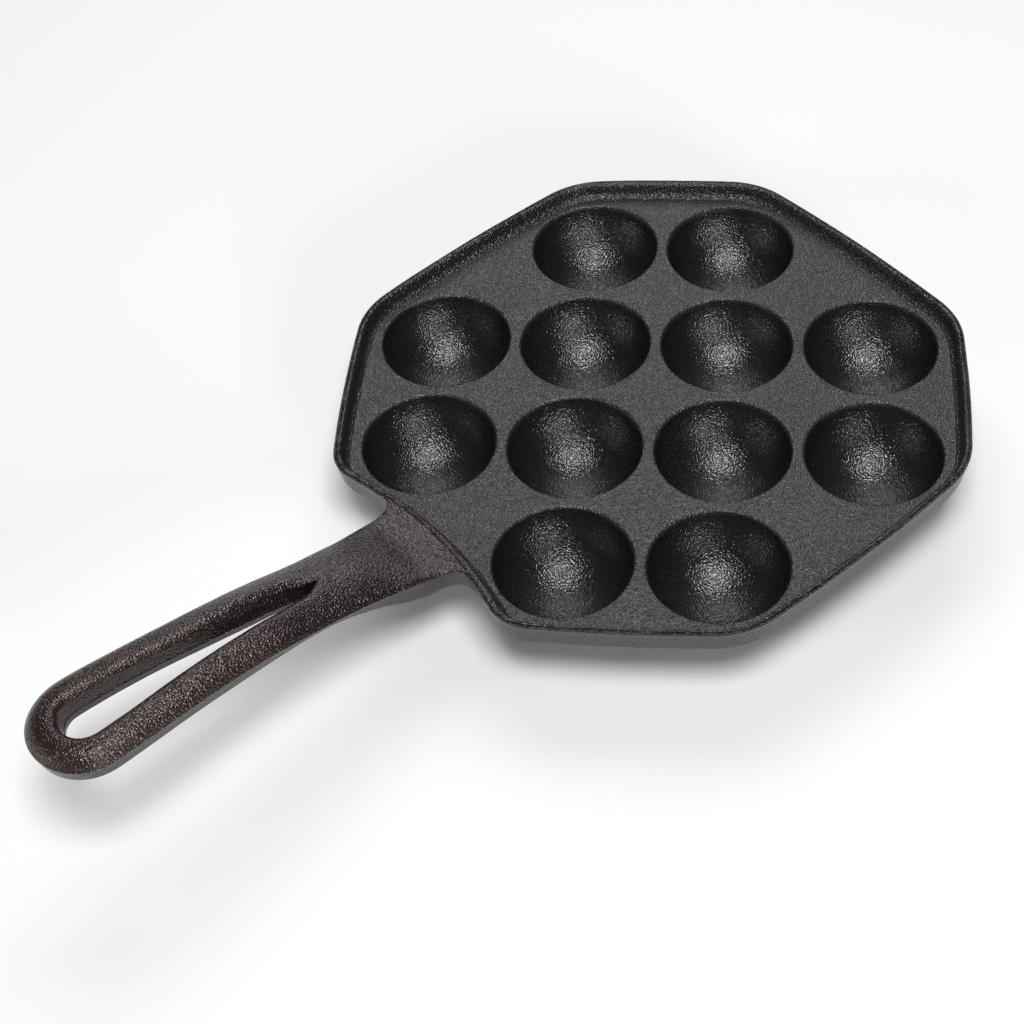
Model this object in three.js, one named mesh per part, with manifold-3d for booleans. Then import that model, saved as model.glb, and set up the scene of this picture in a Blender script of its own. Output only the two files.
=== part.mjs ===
import * as THREE from 'three';
import * as BufferGeometryUtils from 'three/addons/utils/BufferGeometryUtils.js';
import Module from 'manifold-3d';

// Cast iron takoyaki pan: one casting, shown as its deck, raised rim, twelve bowls and loop handle.
// Millimetres, +Z up, cups opening upward, the handle reaching toward -Y, resting on the cup feet.

// Cups and deck
const cup_mouth_radius = 22;
const cup_turn = Math.PI / 4;
const land_width_between_cups = 2;
const cup_depth = 20;
const cup_lip_radius = 1;
const cup_wall_thickness = 4;
const cup_foot_thickness = 3;
const cup_root_fillet = 1.6;
const cup_rows = [2, 4, 4, 2];
const deck_thickness = 4;

// Plate outline and rim, set off from the outermost mouths by the narrowest strips of deck
const land_width_at_square_sides = 0.41;
const land_width_at_slanted_sides = 1.77;
const land_width_at_handle_side = 0.23;
const plate_sides = 8;
const plate_side_radius = 550;
const plate_corner_radius = 27.5;
const plate_corner_radius_at_handle = 14;
const handle_side_hollow_radius = 140;
const rim_height = 4.9;
const rim_top_width = 3;
const rim_extra_width_at_handle = 0.5;
const rim_edge_break = 0.6;
const rim_inner_edge_break = 0.4;
const rim_fillet_radius = 2;
const rim_inner_lean = 0.3;
const wall_draft = 1.3;

// Handle, measured out from a line that lies beyond the deepest point of the hollow side
const handle_line_beyond_hollow = 3;
const handle_reach = 129.3;
const handle_rise = 20.3;
const handle_half_width = 16.6;
const handle_end_thickness = 10.3;
const handle_crown = 4;
const handle_edge_radius = 2.5;
const handle_under_edge_radius = 1.2;
const handle_root_fillet = 5;
const slot_half_width = 6.5;
const slot_edge_radius = 2;

// Stations along the handle, each one a share of the reach, the half width, the rise and so on
const station_shares = [
  { along_share: 0, width_share: 0.93, rise_share: 0, crown_share: 0, under_share: 0 },
  { along_share: 0.05, width_share: 0.9, rise_share: 0.06, crown_share: 0.1, under_share: 0.02 },
  { along_share: 0.1, width_share: 0.85, rise_share: 0.2, crown_share: 0.36, under_share: 0.1 },
  { along_share: 0.19, width_share: 0.8, rise_share: 0.42, crown_share: 0.82, under_share: 0.4 },
  { along_share: 0.29, width_share: 0.785, rise_share: 0.58, crown_share: 0.86, under_share: 0.66 },
  { along_share: 0.38, width_share: 0.81, rise_share: 0.74, crown_share: 0.98, under_share: 0.79 },
  { along_share: 0.48, width_share: 0.83, rise_share: 0.86, crown_share: 0.9, under_share: 0.85 },
  { along_share: 0.58, width_share: 0.865, rise_share: 0.91, crown_share: 0.58, under_share: 0.9 },
  { along_share: 0.72, width_share: 0.935, rise_share: 0.975, crown_share: 0.42, under_share: 0.97 },
  { along_share: 0.87, width_share: 1, rise_share: 1, crown_share: 0.26, under_share: 1 },
  { along_share: 1, width_share: 1, rise_share: 1, crown_share: 0.24, under_share: 1 },
];

// The slot, from its pointed start to the middle of its round end
const slot_shares = [
  { along_share: 0.278, width_share: 0 },
  { along_share: 0.33, width_share: 0.25 },
  { along_share: 0.384, width_share: 0.41 },
  { along_share: 0.48, width_share: 0.52 },
  { along_share: 0.58, width_share: 0.61 },
  { along_share: 0.72, width_share: 0.83 },
  { along_share: 0.81, width_share: 0.96 },
  { along_share: 0.872, width_share: 1 },
];
const loop_start_share = 0.26;

// Seasoned iron as it looks on each region
const deck_colour = '#4b4649';
const rim_colour = '#4f494b';
const cup_colour = '#2c292a';
const handle_colour = '#4d4344';
const deck_roughness = 0.5;
const cup_roughness = 0.4;
const handle_roughness = 0.42;
const iron_metalness = 0.3;

// Fineness of the curved faces
const cup_segments = 24;
const cup_inner_rings = 6;
const cup_outer_rings = 4;
const lip_rings = 3;
const corner_segments = 5;
const side_segments = 4;
const hollow_segments = 6;
const fillet_segments = 3;
const bowl_fillet_segments = 2;
const handle_steps = 18;
const end_steps = 6;
const cross_steps = 4;
const edge_steps = 3;
const slot_steps = 12;
const slot_step_power = 1.4;

// Cups whose centres lie within these shares of the pitch are neighbours
const neighbour_low_share = 0.9;
const neighbour_high_share = 1.1;
const weld_distance = 0.0001;

// Sizes that follow from the ones above
const cup_pitch = cup_mouth_radius + cup_mouth_radius + land_width_between_cups;
const rim_total_width = rim_top_width + rim_inner_lean + rim_fillet_radius;
const side_turn = 2 * Math.PI / plate_sides;
const handle_side = plate_sides * 3 / 4;
const far_side_distance = plate_side_radius - side_centre(0).length();
const hollow_distance = side_centre(handle_side).length();
const handle_line = hollow_distance - handle_side_hollow_radius + handle_line_beyond_hollow;
const deck_top = cup_depth + cup_foot_thickness;
const deck_underside = deck_top - deck_thickness;
const rim_top = deck_top + rim_height;
const sphere_radius = solve_sphere_radius();
const sphere_height = deck_top - cup_depth + sphere_radius;
const plate_shift = (handle_line + handle_reach - far_side_distance) / 2;
const end_centre = handle_reach - handle_half_width;
const beyond = cup_pitch;

// Radius of the ball that reaches the cup depth and passes through the foot of the rounded lip
function solve_sphere_radius() {
  const wall_radius = cup_mouth_radius - cup_lip_radius;
  const wall_depth = cup_depth - cup_lip_radius;
  return (wall_radius * wall_radius + wall_depth * wall_depth) / (wall_depth + wall_depth);
}

// Radius of a ball about the cup's centre where it passes a height
function ball_radius_at(radius, height) {
  const offset = sphere_height - height;
  return Math.sqrt(radius * radius - offset * offset);
}

// Centres of the cups on a square grid that is turned against the handle
function cup_centres() {
  const centres = [];
  const middle_row = (cup_rows.length - 1) / 2;
  cup_rows.forEach((count, row) => {
    for (let place = 0; place < count; place += 1) {
      const across = (place - (count - 1) / 2) * cup_pitch;
      const along = (middle_row - row) * cup_pitch;
      const turned = new THREE.Vector2(across, along).rotateAround(new THREE.Vector2(), cup_turn);
      centres.push(turned);
    }
  });
  return centres;
}

// How a side of the plate bends, hollow for the handle's one, and how far it keeps from the mouths
// inside it; the sides are numbered round from +X
function side_shape(side) {
  if (side === handle_side) {
    const rim = rim_total_width + rim_extra_width_at_handle;
    return { bend: -handle_side_hollow_radius, clear: rim + land_width_at_handle_side, steps: hollow_segments };
  }
  const land = side % 2 === 0 ? land_width_at_square_sides : land_width_at_slanted_sides;
  return { bend: plate_side_radius, clear: rim_total_width + land, steps: side_segments };
}

// Middle of the circle that a side follows
function side_centre(side) {
  const turn = side * side_turn;
  const { bend, clear } = side_shape(side);
  const reach = bend - clear - cup_mouth_radius;
  const out = cup_centres().map((centre) => {
    const { x, y } = centre.rotateAround(new THREE.Vector2(), -turn);
    return x - Math.sign(bend) * Math.sqrt(reach * reach - y * y);
  });
  return new THREE.Vector2(Math.max(...out), 0).rotateAround(new THREE.Vector2(), turn);
}

// Radius of the corner between a side and the next one
function corner_radius(side) {
  const beside_handle = side === handle_side || side + 1 === handle_side;
  return beside_handle ? plate_corner_radius_at_handle : plate_corner_radius;
}

// Middle of the round corner that touches a side and the next one
function corner_centre(side) {
  const here = side_centre(side);
  const apart = side_centre(side + 1).sub(here);
  const here_reach = side_shape(side).bend - corner_radius(side);
  const next_reach = side_shape(side + 1).bend - corner_radius(side);
  const distance = apart.length();
  const along = (distance * distance + here_reach * here_reach - next_reach * next_reach) / (2 * distance);
  const across = Math.sqrt(here_reach * here_reach - along * along);
  const forward = apart.divideScalar(distance);
  const sideways = new THREE.Vector2(-forward.y, forward.x);
  const middle = here.addScaledVector(forward, along);
  const options = [across, -across].map((amount) => middle.clone().addScaledVector(sideways, amount));
  return options[0].length() < options[1].length() ? options[0] : options[1];
}

// Angle that leads out of the plate where a side touches the corner with the given middle
function angle_out(side, corner) {
  const turn = side * side_turn;
  const away = corner.clone().sub(side_centre(side)).multiplyScalar(Math.sign(side_shape(side).bend));
  away.rotateAround(new THREE.Vector2(), -turn);
  return turn + Math.atan2(away.y, away.x);
}

// Points around the plate's outer edge, each with the direction that leads out of the plate
// there and the share of the handle side's extra rim width that it takes
function edge_points() {
  const points = [];
  const add_arc = (centre, radius, angles, steps, wide_shares) => {
    for (let step = 0; step < steps; step += 1) {
      const angle = angles[0] + (angles[1] - angles[0]) * step / steps;
      const wide_share = wide_shares[0] + (wide_shares[1] - wide_shares[0]) * step / steps;
      const outward = new THREE.Vector2(Math.cos(angle), Math.sin(angle));
      points.push({ point: centre.clone().addScaledVector(outward, radius), outward, wide_share });
    }
  };
  const wide_share_of = (side) => (side === handle_side ? 1 : 0);
  for (let side = 0; side < plate_sides; side += 1) {
    const next = side + 1;
    const corner = corner_centre(side);
    const turns = [angle_out(side, corner), angle_out(next, corner)];
    add_arc(corner, corner_radius(side), turns, corner_segments, [wide_share_of(side), wide_share_of(next)]);
    const { bend, steps } = side_shape(next);
    const along = [angle_out(next, corner), angle_out(next, corner_centre(next))];
    add_arc(side_centre(next), bend, along, steps, [wide_share_of(next), wide_share_of(next)]);
  }
  return points;
}

// The plate's outline moved inward by the inset, and by the extra width where the handle is
function plate_outline(inset, extra_width) {
  return edge_points().map(({ point, outward, wide_share }) => {
    return point.clone().addScaledVector(outward, -inset - extra_width * wide_share);
  });
}

// Closed skin around a stack of outlines that all have the same number of points
function stack_rings(rings) {
  const count = rings[0].length;
  const positions = [];
  const faces = [];
  rings.forEach((ring) => ring.forEach((point) => positions.push(point.x, point.y, point.z)));
  for (let level = 0; level + 1 < rings.length; level += 1) wrap_faces(faces, level * count, count);
  const cap = (ring, start, upward) => {
    const flat = ring.map((point) => new THREE.Vector2(point.x, point.y));
    THREE.ShapeUtils.triangulateShape(flat, []).forEach(([a, b, c]) => {
      if (upward) faces.push(start + a, start + b, start + c);
      else faces.push(start + c, start + b, start + a);
    });
  };
  cap(rings[0], 0, false);
  cap(rings[rings.length - 1], (rings.length - 1) * count, true);
  return plain_geometry(positions, faces);
}

// Indexed mesh from lists of coordinates and corners
function plain_geometry(positions, faces) {
  const geometry = new THREE.BufferGeometry();
  geometry.setAttribute('position', new THREE.Float32BufferAttribute(positions, 3));
  geometry.setIndex(faces);
  return geometry;
}

// Plan outline lifted to a height
function raised(points, height) {
  return points.map((point) => new THREE.Vector3(point.x, point.y, height));
}

// Smooth curve through a column of the station table that never overshoots between stations
function station_curve(table, column) {
  const at = table.map((row) => row.along_share);
  const value = table.map((row) => row[column]);
  const slope = at.map((place, index) => {
    if (index === 0 || index === at.length - 1) return 0;
    const before = (value[index] - value[index - 1]) / (place - at[index - 1]);
    const after = (value[index + 1] - value[index]) / (at[index + 1] - place);
    return before * after <= 0 ? 0 : 2 * before * after / (before + after);
  });
  return (share) => {
    const last = at.length - 1;
    if (share <= at[0]) return value[0];
    if (share >= at[last]) return value[last];
    const index = at.findIndex((place) => place > share) - 1;
    const span = at[index + 1] - at[index];
    const t = (share - at[index]) / span;
    const bend = t * t * (3 - 2 * t);
    const rise_in = t * (1 - t) * (1 - t) * span * slope[index];
    const rise_out = t * t * (t - 1) * span * slope[index + 1];
    return value[index] * (1 - bend) + value[index + 1] * bend + rise_in + rise_out;
  };
}

const width_curve = station_curve(station_shares, 'width_share');
const rise_curve = station_curve(station_shares, 'rise_share');
const crown_curve = station_curve(station_shares, 'crown_share');
const under_curve = station_curve(station_shares, 'under_share');
const slot_curve = station_curve(slot_shares, 'width_share');

// Height of the handle's crowned top at a distance out from the plate and across the handle
function handle_top(out, across) {
  const share = out / handle_reach;
  const edge = handle_half_width * width_curve(share) - handle_edge_radius;
  const from_middle = Math.hypot(across, Math.max(out - end_centre, 0));
  const ratio = Math.min(from_middle / edge, 1);
  return rim_top + handle_rise * rise_curve(share) - handle_crown * crown_curve(share) * ratio * ratio;
}

// Height of the handle's underside at a distance out from the plate
function handle_underside(out) {
  const full_rise = rim_top + handle_rise - handle_end_thickness - deck_underside;
  return deck_underside + full_rise * under_curve(out / handle_reach);
}

// How far out the hollow side of the plate lies at a distance across the handle
function side_out(across) {
  const depth = Math.sqrt(handle_side_hollow_radius * handle_side_hollow_radius - across * across);
  return hollow_distance - depth - handle_line;
}

// One side of the handle in plan, from inside the rim to its round end
function handle_rows() {
  const rows = [];
  const root_width = handle_half_width * width_curve(0);
  const widest = root_width + handle_root_fillet;
  const start = side_out(widest);
  rows.push({ out: -rim_total_width - handle_line_beyond_hollow, across: widest, lean: 0 });
  for (let step = 0; step < fillet_segments; step += 1) {
    const angle = Math.PI / 2 * step / fillet_segments;
    const across = root_width + handle_root_fillet * (1 - Math.sin(angle));
    rows.push({ out: start + (handle_root_fillet - start) * (1 - Math.cos(angle)), across, lean: 0 });
  }
  for (let step = 0; step <= handle_steps; step += 1) {
    const out = handle_root_fillet + (end_centre - handle_root_fillet) * step / handle_steps;
    rows.push({ out, across: handle_half_width * width_curve(out / handle_reach), lean: 0 });
  }
  for (let step = 1; step < end_steps; step += 1) {
    const angle = Math.PI / 2 * step / end_steps;
    const out = end_centre + handle_half_width * Math.sin(angle);
    rows.push({ out, across: handle_half_width * Math.cos(angle), lean: angle });
  }
  return rows;
}

// Heights and insets of the rings that wrap the handle, from its underside to its top
function handle_levels() {
  const levels = [];
  for (let step = 0; step <= edge_steps; step += 1) {
    const angle = Math.PI / 2 * step / edge_steps;
    const inset = handle_under_edge_radius * (1 - Math.sin(angle));
    levels.push({ inset, offset: handle_under_edge_radius * (1 - Math.cos(angle)), on_top: false });
  }
  for (let step = 0; step <= edge_steps; step += 1) {
    const angle = Math.PI / 2 * step / edge_steps;
    const inset = handle_edge_radius * (1 - Math.cos(angle));
    levels.push({ inset, offset: handle_edge_radius * (1 - Math.sin(angle)), on_top: true });
  }
  return levels;
}

// Point on one row of the handle, the share running from -1 on the left edge to 1 on the right
function handle_point(row, share, level) {
  const across = (row.across - level.inset * Math.cos(row.lean)) * share;
  const out = row.out - level.inset * Math.sin(row.lean);
  const inner_across = (row.across - handle_edge_radius * Math.cos(row.lean)) * share;
  const inner_out = row.out - handle_edge_radius * Math.sin(row.lean);
  const top = handle_top(inner_out, inner_across) - level.offset;
  const height = level.on_top ? top : handle_underside(out) + level.offset;
  return new THREE.Vector3(across, -handle_line - out, height);
}

// Solid handle before its slot is cut
function handle_body() {
  const rows = handle_rows();
  const tip = { out: handle_reach, across: 0, lean: Math.PI / 2 };
  const levels = handle_levels();
  const shares = [];
  for (let step = 0; step <= cross_steps; step += 1) shares.push(2 * step / cross_steps - 1);
  const inner_shares = shares.slice(1, -1);
  const rings = levels.map((level) => {
    const left = rows.map((row) => handle_point(row, -1, level));
    const right = rows.map((row) => handle_point(row, 1, level)).reverse();
    const root = inner_shares.map((share) => handle_point(rows[0], share, level)).reverse();
    return [...left, handle_point(tip, 0, level), ...right, ...root];
  });
  const positions = rings.flat().flatMap((point) => [point.x, point.y, point.z]);
  const faces = [];
  const count = rings[0].length;
  for (let level = 0; level + 1 < rings.length; level += 1) wrap_faces(faces, level * count, count);
  const last = rings.length - 1;
  cap_rows(positions, faces, rows, levels[0], inner_shares, 0, false);
  cap_rows(positions, faces, rows, levels[last], inner_shares, last * count, true);
  return plain_geometry(positions, faces);
}

// Band of faces between a ring of points and the next one
function wrap_faces(faces, start, count) {
  for (let place = 0; place < count; place += 1) {
    const next = (place + 1) % count;
    faces.push(start + place, start + next, start + count + next);
    faces.push(start + place, start + count + next, start + count + place);
  }
}

// Face across the handle in cross rows, joined to the ring of points that starts at the given place
function cap_rows(positions, faces, rows, level, inner_shares, start, upward) {
  const row_count = rows.length;
  const grid = rows.map((row, index) => {
    const left = start + index;
    const right = start + row_count + row_count - index;
    const root_start = start + row_count + row_count + 1;
    const inner = inner_shares.map((share, place) => {
      if (index === 0) return root_start + inner_shares.length - 1 - place;
      const point = handle_point(row, share, level);
      positions.push(point.x, point.y, point.z);
      return positions.length / 3 - 1;
    });
    return [left, ...inner, right];
  });
  const add = (a, b, c) => (upward ? faces.push(a, b, c) : faces.push(c, b, a));
  for (let index = 0; index + 1 < row_count; index += 1) {
    for (let place = 0; place + 1 < grid[index].length; place += 1) {
      const near = grid[index];
      const far = grid[index + 1];
      add(near[place], far[place], far[place + 1]);
      add(near[place], far[place + 1], near[place + 1]);
    }
  }
  const end = grid[row_count - 1];
  for (let place = 0; place + 1 < end.length; place += 1) add(end[place], start + row_count, end[place + 1]);
}

// Outline of the slot in plan, with the direction that leads out of it at each point
function slot_outline() {
  const side = [];
  const first = slot_shares[0].along_share;
  const last = slot_shares[slot_shares.length - 1].along_share;
  for (let step = 1; step <= slot_steps; step += 1) {
    const share = first + (last - first) * Math.pow(step / slot_steps, slot_step_power);
    side.push(new THREE.Vector2(slot_half_width * slot_curve(share), share * handle_reach));
  }
  for (let step = 1; step < end_steps; step += 1) {
    const angle = Math.PI / 2 * step / end_steps;
    const out = last * handle_reach + slot_half_width * Math.sin(angle);
    side.push(new THREE.Vector2(slot_half_width * Math.cos(angle), out));
  }
  const tip = new THREE.Vector2(0, first * handle_reach);
  const end = new THREE.Vector2(0, last * handle_reach + slot_half_width);
  const other = side.map((point) => new THREE.Vector2(-point.x, point.y)).reverse();
  const loop = [tip, ...side, end, ...other];
  return loop.map((point, index) => {
    const before = loop[(index + loop.length - 1) % loop.length];
    const after = loop[(index + 1) % loop.length];
    const along = after.clone().sub(before).normalize();
    return { point, outward: new THREE.Vector2(along.y, -along.x) };
  });
}

// Tool that cuts the slot and rounds its top and bottom edges
function slot_tool() {
  const outline = slot_outline();
  const ring = (spread, height_at) => outline.map(({ point, outward }) => {
    const moved = point.clone().addScaledVector(outward, spread);
    return new THREE.Vector3(moved.x, -handle_line - moved.y, height_at(moved.y, moved.x));
  });
  const under_break = handle_under_edge_radius;
  const rings = [
    ring(under_break, () => deck_underside - beyond),
    ring(under_break, (out) => handle_underside(out)),
    ring(0, (out) => handle_underside(out) + under_break),
  ];
  for (let step = 0; step <= edge_steps; step += 1) {
    const angle = Math.PI / 2 * step / edge_steps;
    const spread = slot_edge_radius * (1 - Math.cos(angle));
    const drop = slot_edge_radius * (1 - Math.sin(angle));
    rings.push(ring(spread, (out, across) => handle_top(out, across) - drop));
  }
  rings.push(ring(slot_edge_radius, () => rim_top + beyond));
  return stack_rings(rings.map((points) => points.slice().reverse()));
}

// Outer skin of the plate, taller and deeper than it, to end the handle on its wall
function plate_envelope() {
  return stack_rings([
    raised(plate_outline(wall_draft, 0), deck_underside - beyond),
    raised(plate_outline(wall_draft, 0), deck_underside),
    raised(plate_outline(0, 0), rim_top - rim_edge_break),
    raised(plate_outline(rim_edge_break, 0), rim_top),
    raised(plate_outline(rim_edge_break, 0), rim_top + beyond),
  ]);
}

// Raised rim with its outer wall and the fillet down to the deck
function rim_geometry() {
  const extra = rim_extra_width_at_handle;
  const section = [
    [wall_draft, deck_underside, 0],
    [0, rim_top - rim_edge_break, 0],
    [rim_edge_break, rim_top, 0],
    [rim_top_width - rim_inner_edge_break, rim_top, extra],
    [rim_top_width, rim_top - rim_inner_edge_break, extra],
  ];
  const foot = rim_total_width;
  for (let step = 0; step <= fillet_segments; step += 1) {
    const angle = Math.PI / 2 * step / fillet_segments;
    const inset = foot - rim_fillet_radius * Math.cos(angle);
    section.push([inset, deck_top + rim_fillet_radius * (1 - Math.sin(angle)), extra]);
  }
  section.push([foot, deck_underside, extra]);
  const rings = section.map(([inset, height, wider]) => raised(plate_outline(inset, wider), height));
  rings.push(rings[0]);
  const count = rings[0].length;
  const positions = rings.flat().flatMap((point) => [point.x, point.y, point.z]);
  const faces = [];
  for (let level = 0; level + 1 < rings.length; level += 1) wrap_faces(faces, level * count, count);
  return plain_geometry(positions, faces);
}

// Tool for one cup mouth: the rounded lip and the part of the ball within the deck
function mouth_tool() {
  const profile = [
    new THREE.Vector2(0, rim_top),
    new THREE.Vector2(cup_mouth_radius, rim_top),
  ];
  for (let step = 0; step <= lip_rings; step += 1) {
    const angle = Math.PI / 2 * step / lip_rings;
    const radius = cup_mouth_radius - cup_lip_radius * Math.sin(angle);
    profile.push(new THREE.Vector2(radius, deck_top - cup_lip_radius * (1 - Math.cos(angle))));
  }
  profile.push(new THREE.Vector2(ball_radius_at(sphere_radius, deck_underside), deck_underside));
  const below = deck_underside - cup_lip_radius;
  profile.push(new THREE.Vector2(ball_radius_at(sphere_radius, below), below));
  profile.push(new THREE.Vector2(0, below));
  return upright_lathe(profile);
}

// Round body about the Z axis
function upright_lathe(profile) {
  return new THREE.LatheGeometry(profile, cup_segments).rotateX(Math.PI / 2);
}

// Deck with the twelve mouths cut through it
function deck_geometry(tools, centres) {
  const slab = stack_rings([
    raised(plate_outline(rim_total_width, rim_extra_width_at_handle), deck_underside),
    raised(plate_outline(rim_total_width, rim_extra_width_at_handle), deck_top),
  ]);
  let deck = tools.solid(slab);
  centres.forEach((centre) => {
    const mouth = mouth_tool();
    mouth.translate(centre.x, centre.y, 0);
    deck = deck.subtract(tools.solid(mouth));
  });
  return tools.geometry(deck);
}

// Bowl below the deck: round inside and out, with a small flat foot
function bowl_profile() {
  const profile = [];
  const inner_angle = Math.asin(ball_radius_at(sphere_radius, deck_underside) / sphere_radius);
  for (let step = 0; step <= cup_inner_rings; step += 1) {
    const angle = inner_angle * step / cup_inner_rings;
    const height = sphere_height - sphere_radius * Math.cos(angle);
    profile.push(new THREE.Vector2(sphere_radius * Math.sin(angle), height));
  }
  const outer_radius = sphere_radius + cup_wall_thickness;
  const shoulder = ball_radius_at(outer_radius, deck_underside);
  const fillet_height = deck_underside - cup_root_fillet;
  const start = new THREE.Vector2(shoulder + cup_root_fillet, deck_underside);
  const finish = new THREE.Vector2(ball_radius_at(outer_radius, fillet_height), fillet_height);
  const bend = new THREE.QuadraticBezierCurve(start, new THREE.Vector2(shoulder, deck_underside), finish);
  profile.push(...bend.getPoints(bowl_fillet_segments).slice(0, -1));
  const foot_angle = Math.acos(sphere_height / outer_radius);
  const high_angle = Math.acos((sphere_height - fillet_height) / outer_radius);
  for (let step = 0; step <= cup_outer_rings; step += 1) {
    const angle = high_angle + (foot_angle - high_angle) * step / cup_outer_rings;
    const height = sphere_height - outer_radius * Math.cos(angle);
    profile.push(new THREE.Vector2(outer_radius * Math.sin(angle), height));
  }
  profile.push(new THREE.Vector2(0, 0));
  return profile;
}

// One bowl, cut flat where it meets its neighbours half way
function bowl_geometry(tools, centre, centres) {
  const bowl = upright_lathe(bowl_profile());
  bowl.translate(centre.x, centre.y, 0);
  let solid = tools.solid(bowl);
  centres.forEach((other) => {
    const apart = other.clone().sub(centre);
    const share = apart.length() / cup_pitch;
    if (share < neighbour_low_share || share > neighbour_high_share) return;
    const beside = new THREE.BoxGeometry(cup_pitch, cup_pitch + cup_pitch, beyond + beyond);
    beside.translate(cup_pitch, 0, 0);
    beside.rotateZ(apart.angle());
    beside.translate(centre.x, centre.y, 0);
    solid = solid.subtract(tools.solid(beside));
  });
  return tools.geometry(solid);
}

// Both handle pieces: the neck up to where the slot starts and the slotted loop
function handle_geometries(tools) {
  const body = tools.solid(handle_body());
  const split = handle_line + loop_start_share * handle_reach;
  const block = new THREE.BoxGeometry(beyond + beyond, handle_reach, handle_reach);
  const outer_block = block.clone().translate(0, -split - handle_reach / 2, 0);
  const inner_block = block.clone().translate(0, -split + handle_reach / 2, 0);
  const neck = body.subtract(tools.solid(outer_block)).subtract(tools.solid(plate_envelope()));
  const loop = body.subtract(tools.solid(inner_block)).subtract(tools.solid(slot_tool()));
  return { neck: tools.geometry(neck), loop: tools.geometry(loop) };
}

// Joining and cutting of closed shapes
async function solid_tools() {
  const wasm = await Module();
  wasm.setup();
  const solid = (source) => {
    const bare = new THREE.BufferGeometry();
    bare.setAttribute('position', source.getAttribute('position').clone());
    bare.setIndex(source.getIndex());
    const merged = BufferGeometryUtils.mergeVertices(bare, weld_distance);
    const kept = without_slivers(merged.getIndex().array);
    const mesh = new wasm.Mesh({
      numProp: 3,
      vertProperties: new Float32Array(merged.getAttribute('position').array),
      triVerts: new Uint32Array(kept),
    });
    const shape = new wasm.Manifold(mesh);
    return shape.volume() < 0 ? flipped(wasm, mesh) : shape;
  };
  const geometry = (shape) => {
    const mesh = shape.getMesh();
    return plain_geometry(Array.from(mesh.vertProperties), Array.from(mesh.triVerts));
  };
  return { solid, geometry };
}

// Triangles that still have three different corners after welding
function without_slivers(indices) {
  const kept = [];
  for (let place = 0; place < indices.length; place += 3) {
    const [a, b, c] = indices.slice(place, place + 3);
    if (a !== b && b !== c && c !== a) kept.push(a, b, c);
  }
  return kept;
}

// The same body with its faces turned to point outward
function flipped(wasm, mesh) {
  const turned = mesh.triVerts.slice();
  for (let place = 0; place < turned.length; place += 3) {
    turned[place] = mesh.triVerts[place + 2];
    turned[place + 2] = mesh.triVerts[place];
  }
  return new wasm.Manifold(new wasm.Mesh({ numProp: 3, vertProperties: mesh.vertProperties, triVerts: turned }));
}

// Mesh with its name and its own iron finish
function named(name, geometry, colour, roughness) {
  const flat = geometry.toNonIndexed();
  flat.computeVertexNormals();
  const material = new THREE.MeshStandardMaterial({ color: colour, roughness, metalness: iron_metalness });
  const mesh = new THREE.Mesh(flat, material);
  mesh.name = name;
  return mesh;
}

// The whole pan, centred over its box
async function build() {
  const tools = await solid_tools();
  const centres = cup_centres();
  const pan = new THREE.Group();
  pan.name = 'takoyaki_pan';
  pan.position.y = plate_shift;
  pan.add(named('deck', deck_geometry(tools, centres), deck_colour, deck_roughness));
  pan.add(named('rim', tools.geometry(tools.solid(rim_geometry())), rim_colour, deck_roughness));
  centres.forEach((centre, index) => {
    const number = String(index + 1).padStart(2, '0');
    pan.add(named(`cup_${number}`, bowl_geometry(tools, centre, centres), cup_colour, cup_roughness));
  });
  const handle = handle_geometries(tools);
  pan.add(named('handle_neck', handle.neck, handle_colour, handle_roughness));
  pan.add(named('handle_loop', handle.loop, handle_colour, handle_roughness));
  const part = new THREE.Group();
  part.add(pan);
  return part;
}

export default await build();
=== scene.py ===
"""Looks of a cast iron takoyaki pan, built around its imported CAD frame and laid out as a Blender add-on."""

import math
import types

import bpy
import numpy as np
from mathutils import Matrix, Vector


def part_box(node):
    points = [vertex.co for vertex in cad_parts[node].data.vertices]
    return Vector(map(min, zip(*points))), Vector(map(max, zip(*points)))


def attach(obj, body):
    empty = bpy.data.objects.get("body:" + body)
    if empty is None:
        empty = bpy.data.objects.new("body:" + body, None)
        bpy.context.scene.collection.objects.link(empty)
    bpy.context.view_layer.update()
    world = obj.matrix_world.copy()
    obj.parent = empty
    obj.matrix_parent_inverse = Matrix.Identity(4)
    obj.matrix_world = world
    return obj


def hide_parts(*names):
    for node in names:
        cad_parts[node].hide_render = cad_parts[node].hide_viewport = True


bl_info = {
    "name": "Cast Iron Takoyaki Pan",
    "version": (1, 0, 0),
    "blender": (4, 5, 0),
    "location": "3D View > Sidebar > Takoyaki Pan",
    "description": "Builds the plate, bowls and handle of a cast iron takoyaki pan with a seasoned finish",
    "category": "Add Mesh",
}

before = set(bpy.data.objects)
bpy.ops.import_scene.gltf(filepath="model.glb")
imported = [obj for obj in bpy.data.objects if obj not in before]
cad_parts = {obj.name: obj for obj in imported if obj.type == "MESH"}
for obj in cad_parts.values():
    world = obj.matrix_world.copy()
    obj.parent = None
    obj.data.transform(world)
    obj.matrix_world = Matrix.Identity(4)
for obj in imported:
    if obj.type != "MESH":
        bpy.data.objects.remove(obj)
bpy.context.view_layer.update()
MM = 1000.0

# Cups in each row, the turn from one side of the plate to the next, and the handle's side, counted from +X
CUP_ROWS = (2, 4, 4, 2)
TURN = math.pi / 4
HANDLE_SIDE = 6

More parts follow.
